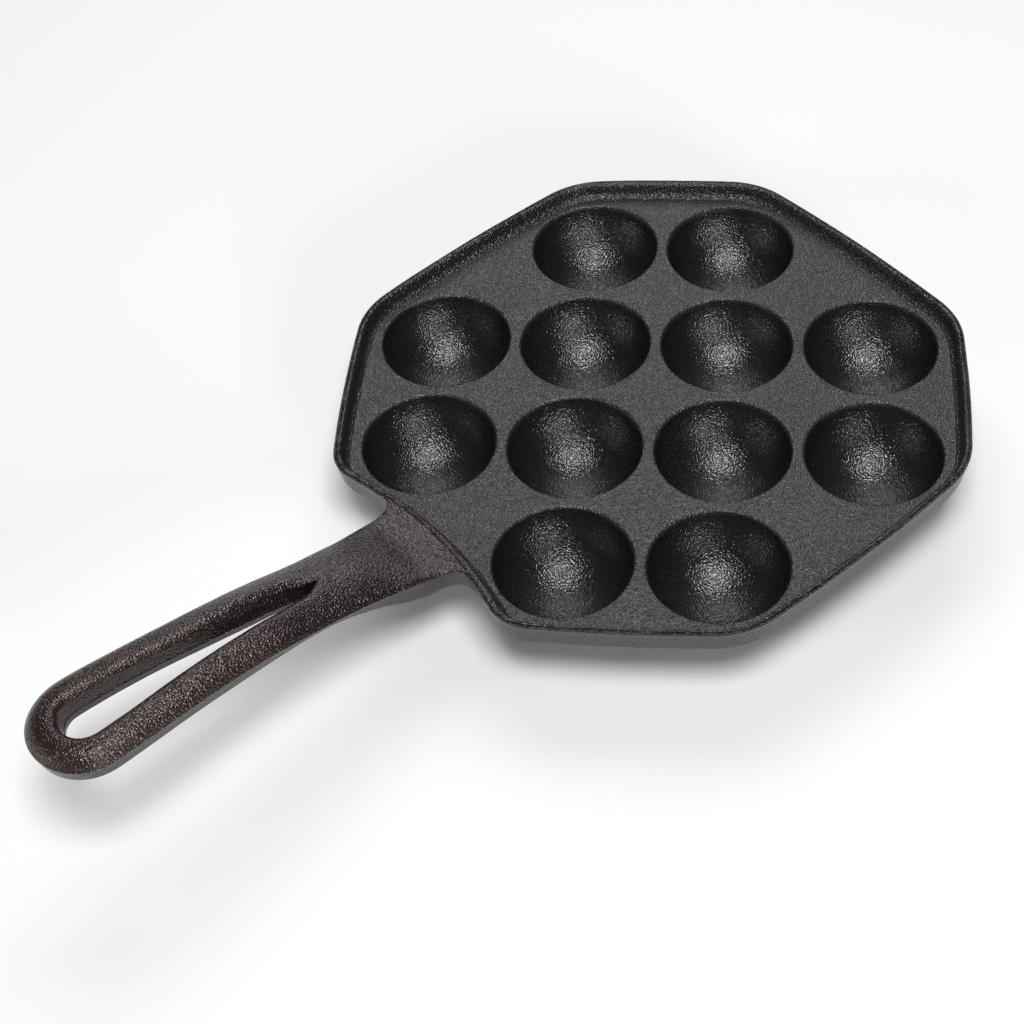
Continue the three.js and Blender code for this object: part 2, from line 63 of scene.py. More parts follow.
# How fine the skins are: steps along each side and corner of the outline, points of each arc, and places of
# the rows down a wall. The rim and the handle's root share the last three, so that they meet point by point
SIDE_STEPS = 48
LIP_POINTS = 7
RIM_FILLET_POINTS = 10
ROOT_FILLET_POINTS = 6
BALL_POINTS = 22
OUTER_BALL_POINTS = 20
EDGE_POINTS = 8
BOTTOM_POINTS = 6
WALL_SHARES = np.array([0.08, 0.25, 0.45, 0.65, 0.85])

# Points in the same step of a weld are one point, and the shift keeps round values off the steps' borders
WELD_STEPS_PER_MM = 2000
WELD_SHIFT = 0.137
# Millimetres below which two distances are the same
SAME = 1e-6
# An even ray that ends on the deck's border goes where one that the cells share is nearer than this
NEAR_RAY = math.radians(0.9)
# A fold sharper than this is shaded as an edge
SHARP_FOLD = math.radians(38)


def length(name, description, default_mm):
    """A length property, given in millimetres and kept in metres."""
    return bpy.props.FloatProperty(
        name=name, description=description, default=default_mm / MM, min=0.0, unit="LENGTH", precision=5
    )


def colour(name, description, default):
    """A colour kept as its sRGB hex value."""
    return bpy.props.StringProperty(name=name, description=description, default=default)


def node_mm(node):
    """Lowest and highest corner of a CAD node in millimetres."""
    low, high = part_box(node)
    return np.array(low) * MM, np.array(high) * MM


DECK_LOW, DECK_HIGH = node_mm("deck")
RIM_HIGH = node_mm("rim")[1]
LOOP_LOW = node_mm("handle_loop")[0]


# Sizes and colours that a user would change


class PanPlateSettings(bpy.types.PropertyGroup):
    cup_pitch: length("Cup pitch", "Distance between neighbouring cups", 46.0)
    mouth_radius: length("Mouth radius", "Where the rounded lip leaves the deck", 22.0)
    cup_depth: length("Cup depth", "From the deck to the bottom of a cup", 20.0)
    lip_radius: length("Lip radius", "Rounding of each cup's mouth", 1.0)
    wall: length("Cup wall", "Iron around a cup", 4.0)
    root_fillet: length("Root fillet", "Where a bowl meets the deck's underside", 2.0)
    crease: length("Crease", "Softness of the groove between two bowls", 1.6)
    diagonal: length("Diagonal side", "Middle of the plate to the middle of its slanted sides", 98.58)
    side_radius: length("Side radius", "Radius of the gently bowed sides", 550.0)
    corner_radius: length("Corner radius", "Rounding of the plate's corners", 27.5)
    near_radius: length("Near corner radius", "Rounding of the two corners beside the handle", 14.0)
    hollow: length("Hollow side", "Middle of the plate to the middle of its hollow side", 89.906)
    hollow_radius: length("Hollow radius", "Radius of the handle's hollow side", 140.0)
    rim_top: length("Rim top", "Width of the rim's top", 2.5)
    rim_extra: length("Rim extra", "How much wider the rim is on the handle's side", 0.5)
    rim_fillet: length("Rim fillet", "Fillet from the rim down to the deck", 2.5)
    rim_lean: length("Rim lean", "Slant of the rim's inner wall", 0.3)
    rim_edge: length("Rim edge", "Rounding of the rim's outer edge", 0.6)
    rim_inner_edge: length("Rim inner edge", "Rounding of the rim's inner edge", 1.3)
    draft: length("Draft", "How far the outer wall leans in at its foot", 1.3)
    bottom_edge: length("Bottom edge", "Rounding of the wall's lower edge", 1.0)
    seam_width: length("Seam width", "How far the parting line's chips reach in from the rim's edge", 1.3)
    waviness: length("Waviness", "Unevenness left by the sand mould", 0.09)
    rays: bpy.props.IntProperty(name="Rays", description="Steps around each cup", default=96, min=16)


class PanHandleSettings(bpy.types.PropertyGroup):
    line: length("Start", "How far beyond the middle of the hollow side the handle's measure starts", 3.0)
    half_width: length("Half width", "Half the width of the loop", 16.6)
    rise: length("Rise", "How far the loop's end stands above the rim", 20.3)
    end_thickness: length("End thickness", "Thickness of the loop's end", 10.3)
    crown: length("Crown", "How far the top is arched", 4.0)
    edge: length("Edge radius", "Rounding of the loop's outer top edges", 7.0)
    under_edge: length("Under edge", "Rounding of the lower edges", 1.2)
    root_fillet: length("Root fillet", "Flare where the handle meets the plate", 5.0)
    side_draft: length("Side draft", "How far the sides lean in at the bottom", 0.8)
    slot_half_width: length("Slot half width", "Half the width of the slot's round end", 6.5)
    slot_edge: length("Slot edge", "Rounding of the slot's upper edge", 2.6)
    slot_low_edge: length("Slot low edge", "Rounding of the slot's lower edge", 0.9)
    slot_lean: length("Slot lean", "How much wider the slot is above its parting line", 0.6)
    slot_parting: length("Slot parting", "Height of the slot's parting line above its lower edge", 2.2)
    slot_narrowing: length("Slot narrowing", "How much narrower the slot is near its tip, lower down", 1.5)
    flash: length("Flash", "How far the parting line stands out", 0.12)
    edge_stop: bpy.props.FloatProperty(
        name="Edge stop",
        description="Slant at which the loop's edge meets the parting line",
        default=math.radians(24),
        subtype="ANGLE",
    )


class PanFinishSettings(bpy.types.PropertyGroup):
    deck: colour("Deck", "Oxide on the deck and rim, sRGB", "#252124")
    # The bowls' colour is darker than the deck's: painted shade of the hollows
    bowl: colour("Bowl", "Oxide in the bowls, sRGB", "#090708")
    handle: colour("Handle", "Oxide on the handle, sRGB", "#171314")
    deck_sheen: colour("Deck sheen", "Tint of the deck's gloss, sRGB", "#FFF8FF")
    bowl_sheen: colour("Bowl sheen", "Tint of the bowls' gloss, sRGB", "#FFFAFE")
    handle_sheen: colour("Handle sheen", "Tint of the handle's gloss, sRGB", "#FFF0F1")
    # The copper brown is wear, and on the handle's upward slopes also a painted copper sheen
    wear_and_sheen: colour("Worn", "Copper brown where the seasoning is rubbed, sRGB", "#42271E")
    seam: colour("Seam", "Soot on the ragged parting line, sRGB", "#0C0909")
    grain: length("Grain", "Width of one grain of the sand-cast texture", 0.55)
    patch: length("Patch", "Width of one patch of thicker or thinner oil film", MM / 70)


class PanStageSettings(bpy.types.PropertyGroup):
    floor: colour("Floor", "Floor colour, sRGB", "#F4F4F4")
    lamp: bpy.props.FloatProperty(
        name="Lamps", description="Strength of the studio lamps", default=1.0, min=0.0, subtype="FACTOR"
    )


def read_sizes(group):
    """All values of a settings group by name, its lengths in millimetres and its angles in radians."""
    values = {}
    for name in group.__annotations__:
        value = getattr(group, name)
        values[name] = value * MM if group.bl_rna.properties[name].unit == "LENGTH" else value
    return types.SimpleNamespace(**values)


# The plate's outline and the cups' places


def pan_shape(context):
    """The plate's sizes with the heights and reaches that the CAD frame fixes."""
    s = read_sizes(context.scene.pan_plate)
    s.underside = DECK_LOW[2]
    s.deck_top = DECK_HIGH[2]
    s.rim_height = RIM_HIGH[2]
    s.square = RIM_HIGH[0]
    s.centre_y = RIM_HIGH[1] - s.square
    s.rim_width = s.rim_top + s.rim_lean + s.rim_fillet
    wall_radius = s.mouth_radius - s.lip_radius
    wall_depth = s.cup_depth - s.lip_radius
    s.ball = (wall_radius**2 + wall_depth**2) / (2 * wall_depth)
    s.ball_z = s.deck_top - s.cup_depth + s.ball
    s.cups = cup_centres(s.cup_pitch)
    s.edge, marks = trace_edge(s)
    handle = read_sizes(context.scene.pan_handle)
    s.flare = handle.half_width * STATIONS["width"][0] + handle.root_fillet
    lean = np.arcsin(np.array([-1, 1]) * s.flare / s.hollow_radius)
    radius = s.hollow_radius + s.rim_width + s.rim_extra
    flare_ends = side_circle(s, HANDLE_SIDE)[0] + radius * np.stack([np.sin(lean), np.cos(lean)], 1)
    s.marks = np.concatenate([marks, flare_ends])
    return s


def toward(angles):
    """Directions of one unit at these angles: their cosine and sine."""
    return np.stack([np.cos(angles), np.sin(angles)], -1)


def side_circle(s, side):
    """Centre and bend of the circle that a side follows: behind a bowed side, beyond the hollow one."""
    out = toward(side * TURN)
    if side == HANDLE_SIDE:
        return out * (s.hollow + s.hollow_radius), -s.hollow_radius
    return out * ((s.diagonal if side % 2 else s.square) - s.side_radius), s.side_radius


def corner_circle(s, side):
    """Centre and radius of the corner that touches a side and the next: of the two circles that do so at the
    right distances from both sides' centres, the one nearer the middle of the plate."""
    radius = s.near_radius if side in (HANDLE_SIDE - 1, HANDLE_SIDE) else s.corner_radius
    (here, bend), (after, next_bend) = side_circle(s, side), side_circle(s, side + 1)
    distance = math.hypot(*(after - here))
    forward = (after - here) / distance
    along = (distance**2 + (bend - radius) ** 2 - (next_bend - radius) ** 2) / (2 * distance)
    across = math.sqrt((bend - radius) ** 2 - along**2)
    both = here + forward * along + np.outer((across, -across), (-forward[1], forward[0]))
    return both[np.hypot(*both.T).argmin()], radius


def angle_out(s, side, corner):
    """Angle that leads out of the plate where a side touches a corner with this centre."""
    centre, bend = side_circle(s, side)
    x, y = (corner - centre) * math.copysign(1, bend)
    turn = side * TURN
    return turn + math.atan2(y * math.cos(turn) - x * math.sin(turn), x * math.cos(turn) + y * math.sin(turn))


def trace_edge(s):
    """The plate's outer edge as closely set points: place, outward direction, share of the extra rim width.

    Seven bowed sides and the hollow one, with a round corner between each two. Also gives border points of
    the deck where rays must pass to keep the corners round.
    """
    rows, marks = [], []
    for side in range(8):
        corner, radius = corner_circle(s, side)
        start, stop = angle_out(s, side, corner), angle_out(s, side + 1, corner)
        beyond = angle_out(s, side + 1, corner_circle(s, side + 1)[0])
        wide, next_wide = float(side == HANDLE_SIDE), float(side + 1 == HANDLE_SIDE)
        centre, bend = side_circle(s, side + 1)
        every = SIDE_STEPS // (8 if radius == s.near_radius else 4)
        for middle, reach, turns, wides in (
            (corner, radius, (start, stop), (wide, next_wide)),
            (centre, bend, (stop, beyond), (next_wide, next_wide)),
        ):
            outward = toward(np.linspace(*turns, SIDE_STEPS + 1))
            extra = np.linspace(*wides, SIDE_STEPS + 1)[:, None]
            part = np.concatenate([middle + outward * reach, outward, extra], 1)
            rows.append(part[:-1])
            if middle is corner:
                marks.append(part[::every])
    return np.concatenate(rows), inset_edge(np.concatenate(marks), s.rim_width, s.rim_extra)


def inset_edge(edge, inset, extra):
    """Edge points moved inward by an inset, and by an extra one on the handle's side."""
    return edge[..., :2] - edge[..., 2:4] * (inset + extra * edge[..., 4:])


def cup_centres(pitch):
    """Rows of two, four, four and two cups on a square grid, turned an eighth of a turn."""
    places = []
    for row, count in enumerate(CUP_ROWS):
        across = (np.arange(count) - (count - 1) / 2) * pitch
        along = np.full(count, ((len(CUP_ROWS) - 1) / 2 - row) * pitch)
        places.append(np.stack([across - along, across + along], 1) / math.sqrt(2))
    return np.concatenate(places)


def cross_edge(s, origins, angles, inset, extra):
    """Where rays first cross the inset edge: how far along each ray, and the edge's own values there."""
    ring = inset_edge(s.edge, inset, extra)
    step = (np.roll(ring, -1, 0) - ring)[None]
    ray = toward(angles)[:, None]
    gap = ring[None] - origins[:, None]
    turn = ray[..., 0] * step[..., 1] - ray[..., 1] * step[..., 0]
    tiny = 1e-12
    turn = np.where(np.abs(turn) < tiny, tiny, turn)
    far = (gap[..., 0] * step[..., 1] - gap[..., 1] * step[..., 0]) / turn
    place = (gap[..., 0] * ray[..., 1] - gap[..., 1] * ray[..., 0]) / turn
    far = np.where((far > 0) & (np.abs(place - 0.5) < 0.5 + 1e-9), far, np.inf)
    best = far.argmin(1)
    row = np.arange(len(angles))
    place = place[row, best][:, None]
    return far[row, best], s.edge[best] * (1 - place) + s.edge[(best + 1) % len(s.edge)] * place


def cell_rays(s, index):
    """Angles of a cup's rays, and how far each reaches to the half-way lines and to the deck's border.

    The angles are even steps, plus those that meet the points where half-way lines reach the border, the
    marks on the corners and the ends of the handle's flare, so that cells share all their border points.
    """
    centre = s.cups[index]
    others = np.delete(s.cups, index, 0)
    gap = others - centre
    middle = np.repeat((centre + others) / 2, 2, 0)
    turns = (np.arctan2(gap[:, 1], gap[:, 0])[:, None] + math.pi * np.array([0.5, 1.5])).ravel()
    far = cross_edge(s, middle, turns, s.rim_width, s.rim_extra)[0]
    special = np.concatenate([middle + far[:, None] * toward(turns), s.marks])
    own = np.hypot(*(special - centre).T)
    rest = np.hypot(*(special[:, None] - others[None]).transpose(2, 0, 1)).min(1)
    special = special[own <= rest + SAME]
    extra = np.unique(np.round(np.arctan2(*(special - centre).T[::-1]) % (2 * math.pi), 10))

    def reaches(angles):
        """How far each ray goes to the nearest half-way line and to the border, and the edge there."""
        tiny = 1e-9
        along = toward(angles) @ gap.T
        half = np.where(along > tiny, (gap**2).sum(1)[None] / 2 / np.maximum(along, tiny), np.inf).min(1)
        return half, *cross_edge(s, np.repeat(centre[None], len(angles), 0), angles, s.rim_width, s.rim_extra)

    even = np.arange(s.rays) * 2 * math.pi / s.rays
    half, border, _ = reaches(even)
    apart = np.abs((even[:, None] - extra[None] + math.pi) % (2 * math.pi) - math.pi)
    near = (apart < NEAR_RAY).any(1)
    angles = np.sort(np.concatenate([even[~(near & (border < half))], extra]))
    return angles, *reaches(angles)


def arc(centre_r, centre_z, radius, start, stop, count):
    """Points on a circle in the profile plane between two angles in degrees."""
    return np.array([centre_r, centre_z]) + radius * toward(np.radians(np.linspace(start, stop, count)))


def uneven(points, amount):
    """Slow wander of a sand mould: each point is moved along X, Y and Z by a sum of two long sine waves.

    The waves are 25 to 75 mm long. They fade out toward the ground, so that the feet stay level.
    """
    x, y, z = points.T
    a = np.sin(x / 7.9 + 1.3 * np.sin(y / 11.7)) + 0.7 * np.sin(y / 5.3 + 2.1) * np.cos(x / 9.1 + 0.4)
    b = np.sin(y / 8.7 + 1.1 * np.sin(x / 10.3 + 2.0)) + 0.7 * np.sin(x / 6.1 + 0.9)
    c = np.sin(x / 6.7 + y / 9.7 + 0.6) + 0.8 * np.sin(y / 4.9 - x / 8.3 + 1.7)
    fade = np.clip((z - 0.2) / 4.0, 0, 1)
    return points + np.stack([a, b, c], 1) * (amount * 0.5 * fade)[:, None]


# Grids of points and closed skins


def grid_faces(start, rows, columns, closed=False):
    """Four-cornered faces of a grid of points stored row by row."""
    r = np.arange(rows - 1)[:, None]
    c = np.arange(columns if closed else columns - 1)[None]
    after = (c + 1) % columns
    quads = [r * columns + c, (r + 1) * columns + c, (r + 1) * columns + after, r * columns + after]
    return start + np.stack([np.broadcast_to(q, (rows - 1, c.shape[1])) for q in quads], -1).reshape(-1, 4)


class Skin:
    """Collects grids of points in millimetres and welds them into one closed mesh.

    Points that round to the same weld step become one. A face that loses a corner by it becomes a triangle,
    and one that loses more, or is folded shut, goes.
    """

    def __init__(self):
        self.points = []
        self.faces = []
        self.count = 0

    def add(self, grid, keep=None, closed=False, flip=False):
        """Adds a grid of points, all its faces or those to keep, as a closed ring or turned round."""
        rows, columns = grid.shape[:2]
        faces = grid_faces(self.count, rows, columns, closed)
        if keep is not None:
            faces = faces.reshape(rows - 1, -1, 4)[keep]
        faces = faces.reshape(-1, 4)
        self.points.append(grid.reshape(-1, 3))
        self.faces.append(faces[:, ::-1] if flip else faces)
        self.count += rows * columns

    def welded(self):
        """The points with none twice, and the faces that are left, as quads and as triangles."""
        points = np.concatenate(self.points)
        faces = np.concatenate(self.faces)
        steps = np.round(points * WELD_STEPS_PER_MM + WELD_SHIFT)
        first, inverse = np.unique(steps, axis=0, return_index=True, return_inverse=True)[1:]
        faces = inverse.ravel()[faces]
        points = points[first]
        twin = faces == np.roll(faces, -1, 1)
        count = twin.sum(1)
        quads = faces[count == 0]
        part = faces[count == 1]
        where = twin[count == 1].argmax(1)
        rows = np.arange(len(part))[:, None]
        triangles = part[rows, (where[:, None] + np.array([1, 2, 3])) % 4]
        crossed = (quads[:, 0] == quads[:, 2]) | (quads[:, 1] == quads[:, 3])
        return points, quads[~crossed], triangles

    def to_object(self, name, amount, centre_y):
        """The skin as a smooth-shaded object in the frame's own place, made a little uneven."""
        points, quads, triangles = self.welded()
        check_closed(name, points, quads, triangles)
        points = uneven(points, amount) + np.array([0.0, centre_y, 0.0])
        mesh = bpy.data.meshes.new(name)
        mesh.vertices.add(len(points))
        mesh.vertices.foreach_set("co", (points / MM).ravel())
        corners = np.concatenate([quads.ravel(), triangles.ravel()])
        sizes = np.concatenate([np.full(len(quads), 4), np.full(len(triangles), 3)])
        starts = np.concatenate([[0], np.cumsum(sizes)[:-1]])
        mesh.loops.add(len(corners))
        mesh.loops.foreach_set("vertex_index", corners)
        mesh.polygons.add(len(sizes))
        mesh.polygons.foreach_set("loop_start", starts)
        mesh.update(calc_edges=True)
        mesh.polygons.foreach_set("use_smooth", np.ones(len(sizes), bool))
        mesh.set_sharp_from_angle(angle=SHARP_FOLD)
        mesh.validate()
        obj = bpy.data.objects.new(name, mesh)
        bpy.context.scene.collection.objects.link(obj)
        return obj


def check_closed(name, points, quads, triangles):
    """Every edge of a closed skin runs once each way."""
    pairs = [np.stack([f, np.roll(f, -1, 1)], 2).reshape(-1, 2) for f in (quads, triangles)]
    pairs = np.concatenate(pairs)
    size = len(points)
    forward, count = np.unique(pairs[:, 0] * size + pairs[:, 1], return_counts=True)
    backward = np.unique(pairs[:, 1] * size + pairs[:, 0])
    wrong = np.concatenate([forward[count > 1], np.setxor1d(forward, backward)])
    if len(wrong):
        where = np.round(points[wrong[:12] // size], 3).tolist()
        raise RuntimeError(f"{name} isn't a closed skin: {len(wrong)} edges, as at {where}")


# Plate and bowls

# Places of the deck's rings between a mouth and the border of its cell
WEB_SHARES = np.array([0.06, 0.2, 0.4, 0.6, 0.8, 1.0])
# Narrow rings on both sides of the joint between the deck and a bowl keep the shading even across it: their
# height on the deck's side in millimetres, and their turn on the bowl's side in radians
JOINT_RING = 0.06
JOINT_TURN = 0.003
# Millimetres below the deck over which the groove between two bowls gets its full softness
CREASE_RUN = 2.0


def rim_profile(s):
    """Rim section from the deck over the top to the underside: inset, height and share of the extra width.

    It runs along a fillet, a rounded inner edge, the flat top, a rounded outer edge, the leaning outer wall,
    a rounded lower edge and the flat underside. Also gives the first and last row of what the handle meets.
    """
    top = s.rim_height
    foot = arc(s.rim_width, s.deck_top + s.rim_fillet, s.rim_fillet, 270, 180, RIM_FILLET_POINTS)
    slant = 4
    edge_middle = s.rim_top - s.rim_inner_edge - 0.04
    inner = arc(edge_middle, top - s.rim_inner_edge, s.rim_inner_edge, slant, 90, LIP_POINTS)
    edge = arc(s.rim_edge, top - s.rim_edge, s.rim_edge, 90, 180, EDGE_POINTS)
    wall_height = (top - s.rim_edge) * (1 - WALL_SHARES) + (s.underside + s.bottom_edge) * WALL_SHARES
    wall = np.stack([wall_inset(s, wall_height), wall_height], 1)
    start = wall_inset(s, s.underside + s.bottom_edge)
    bottom = arc(start + s.bottom_edge, s.underside + s.bottom_edge, s.bottom_edge, 180, 270, BOTTOM_POINTS)
    part_way = 0.7
    flat = np.array([[s.rim_width * part_way, s.underside], [s.rim_width, s.underside]])
    beside_edge = np.array([[s.rim_edge + 0.35, top]])
    profile = np.concatenate([foot, inner, beside_edge, edge, wall, bottom, flat])
    first = len(foot) + len(inner) + 1
    last = first + len(edge) + len(wall) + len(bottom) - 1
    wide = np.ones(len(profile))
    wide[first - 1 : last + 1] = 0
    wide[-2] = part_way
    return np.concatenate([profile, wide[:, None]], 1), first, last


def wall_inset(s, height):
    """How far the outer wall leans in at a height: nothing at its top, the full draft at its lower edge."""
    top = s.rim_height - s.rim_edge
    return s.draft * (top - height) / (top - s.underside - s.bottom_edge)


def ball_radius(s, radius, height):
    """Half the width, at a height, of a ball round the cups' common middle height."""
    return np.sqrt(radius**2 - (s.ball_z - height) ** 2)


def mouth_profile(s):
    """Radius and height from the bowl's upper edge, up the ball and over the rounded lip to the deck."""
    seam = s.underside
    lip_r = math.sqrt((s.ball + s.lip_radius) ** 2 - (s.ball_z - s.deck_top + s.lip_radius) ** 2)
    meet = math.degrees(math.asin((s.ball_z - s.deck_top + s.lip_radius) / (s.ball + s.lip_radius)))
    lip = arc(lip_r, s.deck_top - s.lip_radius, s.lip_radius, 180 - meet, 90, LIP_POINTS)
    heights = np.array([seam, seam + JOINT_RING, *np.linspace(seam, lip[0, 1], 5)[1:-1]])
    ball = np.stack([ball_radius(s, s.ball, heights), heights], 1)
    return np.concatenate([ball, lip])


def under_profile(s):
    """Bowl outside from the middle of its foot, up the ball and along the fillet to the deck's underside."""
    outer = s.ball + s.wall
    rise = s.ball_z - s.underside + s.root_fillet
    fillet_r = math.sqrt((outer + s.root_fillet) ** 2 - rise**2)
    meet = math.degrees(math.asin(rise / (outer + s.root_fillet)))
    fillet = arc(fillet_r, s.underside - s.root_fillet, s.root_fillet, 180 - meet, 90, ROOT_FILLET_POINTS)
    foot_angle = math.acos(s.ball_z / outer)
    end_angle = math.radians(90 - meet)
    angles = np.linspace(foot_angle, end_angle, OUTER_BALL_POINTS)[:-1]
    ball = np.stack([outer * np.sin(angles), s.ball_z - outer * np.cos(angles)], 1)
    foot = np.stack([np.array([0.0, 0.5, 0.9]) * ball[0, 0], np.zeros(3)], 1)
    return np.concatenate([foot, ball, fillet])


def around(centre, angles, radii, heights):
    """Points at given radii and heights along each ray of a cup: rings by rays by three."""
    x = centre[0] + radii * np.cos(angles)[None]
    y = centre[1] + radii * np.sin(angles)[None]
    z = np.broadcast_to(heights, x.shape)
    return np.stack([x, y, z], -1)


def plate_skin(s):
    """Deck and rim: round each cup a polar grid from its mouth out, over the rim, and back underneath."""
    skin = Skin()
    inset, height, wide = rim_profile(s)[0].T[:, :, None, None]
    mouth = mouth_profile(s)
    web = WEB_SHARES[:, None]
    below = np.linspace(1, 0, len(web))[:, None]
    for index, centre in enumerate(s.cups):
        angles, half, border, edge = cell_rays(s, index)
        reach = np.minimum(half, border)
        rings = np.repeat(mouth[:, :1], len(angles), 1)
        deck = mouth[-1, 0] + (reach[None] - mouth[-1, 0]) * web
        heights = np.concatenate([mouth[:, 1:], np.full((len(web), 1), s.deck_top)])
        skin.add(around(centre, angles, np.concatenate([rings, deck]), heights), closed=True)
        under = mouth[0, 0] + (reach[None] - mouth[0, 0]) * below
        skin.add(around(centre, angles, under, np.full((len(below), 1), s.underside)), closed=True)
        xy = inset_edge(edge[None], inset, s.rim_extra * wide)
        grid = np.concatenate([xy, np.broadcast_to(height, xy.shape[:2] + (1,))], -1)
        on_edge = border <= half + SAME
        both = on_edge & np.roll(on_edge, -1)
        keep = np.broadcast_to(both[None], (len(inset) - 1, len(angles)))
        skin.add(grid, keep=keep, closed=True)
    return skin


def bowl_height(s, profile, points):
    """Height of the bowls' common outside: each bowl's own profile, blended softly where two meet.

    Where the two lowest are closer in height than the crease, it dips below both by a quarter of the crease
    times the square of how close they are. The crease fades out toward the deck's underside.
    """
    distance = np.hypot(*(points[:, None] - s.cups[None]).transpose(2, 0, 1))
    heights = np.interp(distance, profile[:, 0], profile[:, 1])
    heights = np.sort(heights, 1)[:, :2]
    low, other = heights[:, 0], heights[:, 1]
    soft = s.crease * np.clip((s.underside - other) / CREASE_RUN, 0, 1) + 1e-9
    mix = np.clip(1 - (other - low) / soft, 0, 1)
    return low - mix * mix * soft / 4


def bowl_skin(s, index):
    """One bowl: the ball inside, a flat ring under the deck, and the ball, fillet and foot outside."""
    skin = Skin()
    centre = s.cups[index]
    angles, half = cell_rays(s, index)[:2]
    origins = np.repeat(centre[None], len(angles), 0)
    reach = np.minimum(half, cross_edge(s, origins, angles, s.draft + s.bottom_edge, 0)[0])
    seam_r = ball_radius(s, s.ball, s.underside)
    under = under_profile(s)
    top = math.asin(seam_r / s.ball)
    turn = np.concatenate([np.linspace(0, top, BALL_POINTS)[:-1], [top - JOINT_TURN, top]])
    inside = around(centre, angles, np.repeat(s.ball * np.sin(turn)[:, None], len(angles), 1), 0)
    inside[..., 2] = (s.ball_z - s.ball * np.cos(turn))[:, None]
    outer_r = np.minimum(under[-1, 0], reach)
    ring = seam_r + (outer_r[None] - seam_r) * np.array([0.0, 0.5, 1.0])[:, None]
    ledge = around(centre, angles, ring, np.full((3, 1), s.underside))
    radii = np.minimum(under[::-1, :1], reach[None])
    outside = around(centre, angles, radii, 0)
    flat = outside.reshape(-1, 3)
    outside[..., 2] = bowl_height(s, under, flat[:, :2]).reshape(outside.shape[:2])
    wall = np.stack([ledge[-1], outside[0]])
    for grid in (inside, ledge, wall, outside):
        skin.add(grid, closed=True)
    return skin


# Handle

# Along the handle, in shares of its reach: its half width, its rise above the rim, the arch of its top, the
# rise of its underside and the rounding of its top edge, each as a share of its full size
STATIONS = {
    "along": (0, 0.05, 0.1, 0.19, 0.29, 0.38, 0.48, 0.58, 0.72, 0.87, 1),
    "width": (0.93, 0.9, 0.85, 0.8, 0.785, 0.81, 0.83, 0.865, 0.935, 1, 1),
    "rise": (0, 0.06, 0.2, 0.42, 0.58, 0.74, 0.86, 0.91, 0.975, 1, 1),
    "crown": (0, 0.1, 0.36, 0.82, 0.86, 0.98, 0.9, 0.58, 0.42, 0.26, 0.24),
    "under": (0, 0.02, 0.1, 0.4, 0.66, 0.79, 0.85, 0.9, 0.97, 1, 1),
    "edge": (0, 0.06, 0.14, 0.3, 0.46, 0.6, 0.72, 0.82, 0.94, 1, 1),
}
# Along the slot, in shares of the handle's reach: shares of its half width
SLOT = {
    "along": (0.278, 0.33, 0.384, 0.48, 0.58, 0.72, 0.81, 0.872),
    "width": (0, 0.25, 0.41, 0.52, 0.61, 0.83, 0.96, 1),
}
# Rows of the flare, in shares of its curve, of the neck, of the arms beside the slot, and of the round end
FLARE_ROWS = np.array([0, 0.015, 0.09, 0.2, 0.33, 0.47, 0.62, 0.8, 1])
NECK_ROWS = 25
ARM_ROWS = 53
END_ROWS = 16
# Millimetres over which the rim's section turns into the handle's, and the slant at its parting line grows
ROOT_RUN = 12.0
EDGE_RUN = 30.0
# Millimetres over which the rounding of the slot's edges grows from its tip
TIP_RUN = 5.0
# Below its parting line the slot narrows by at most this share of its half width. It does so as far as the
# second share of the handle's reach, and less and less over the third
NARROW_SHARE = 0.65
NARROW_END = 0.42
NARROW_FADE = 0.22


def station_curve(table, column, at):
    """Cubic through the stations whose slopes are harmonic means, so it never overshoots them."""
    x = np.array(table["along"], float)
    y = np.array(table[column], float)
    step = np.diff(y) / np.diff(x)
    product = step[:-1] * step[1:]
    total = np.where(product > 0, step[:-1] + step[1:], 1.0)
    slope = np.concatenate([[0], np.where(product > 0, 2 * product / total, 0), [0]])
    at = np.clip(at, x[0], x[-1])
    i = np.clip(np.searchsorted(x, at, side="right") - 1, 0, len(x) - 2)
    span = x[i + 1] - x[i]
    t = (at - x[i]) / span
    bend = t * t * (3 - 2 * t)
    rise = t * (1 - t) ** 2 * span * slope[i] + t * t * (t - 1) * span * slope[i + 1]
    return y[i] * (1 - bend) + y[i + 1] * bend + rise


def along_handle(h, column, out):
    """A share from the handle's stations at a distance out from the plate."""
    return station_curve(STATIONS, column, out / h.reach)


def handle_shape(context, s):
    """The handle's sizes with where it starts on the plate and how far it reaches."""
    h = read_sizes(context.scene.pan_handle)
    h.wall_y = -(s.hollow + h.line)
    h.reach = h.wall_y - (LOOP_LOW[1] - s.centre_y)
    h.low = s.underside
    h.start_edge = s.rim_edge
    h.top = s.rim_height
    h.end = h.reach - h.half_width
    h.under_rise = h.top + h.rise - h.end_thickness - h.low
    columns = root_columns(s)
    h.base = np.stack([columns[:, 0], h.wall_y - columns[:, 1]], 1)
    h.base_normal = columns[:, 2:4] * np.array([1, -1]) / np.hypot(columns[:, 2:3], columns[:, 3:4])
    return h


def handle_edge(h, out):
    """Top edge at a distance out: its radius, where its arc starts and stops, and how far in it starts.

    The arc starts with the slope that the arched top has there. The place and the slope depend on each other,
    so they are worked out in turn, four times over.
    """
    radius = h.start_edge + (h.edge - h.start_edge) * along_handle(h, "edge", out)
    crown = h.crown * along_handle(h, "crown", out)
    width = h.half_width * along_handle(h, "width", out)
    stop = np.pi - h.edge_stop * ease(out / EDGE_RUN)
    inset = radius
    for _ in range(4):
        lean = np.arctan(2 * crown / (width - inset))
        inset = radius * (-np.cos(stop) - np.sin(lean))
    return radius, lean, stop, inset


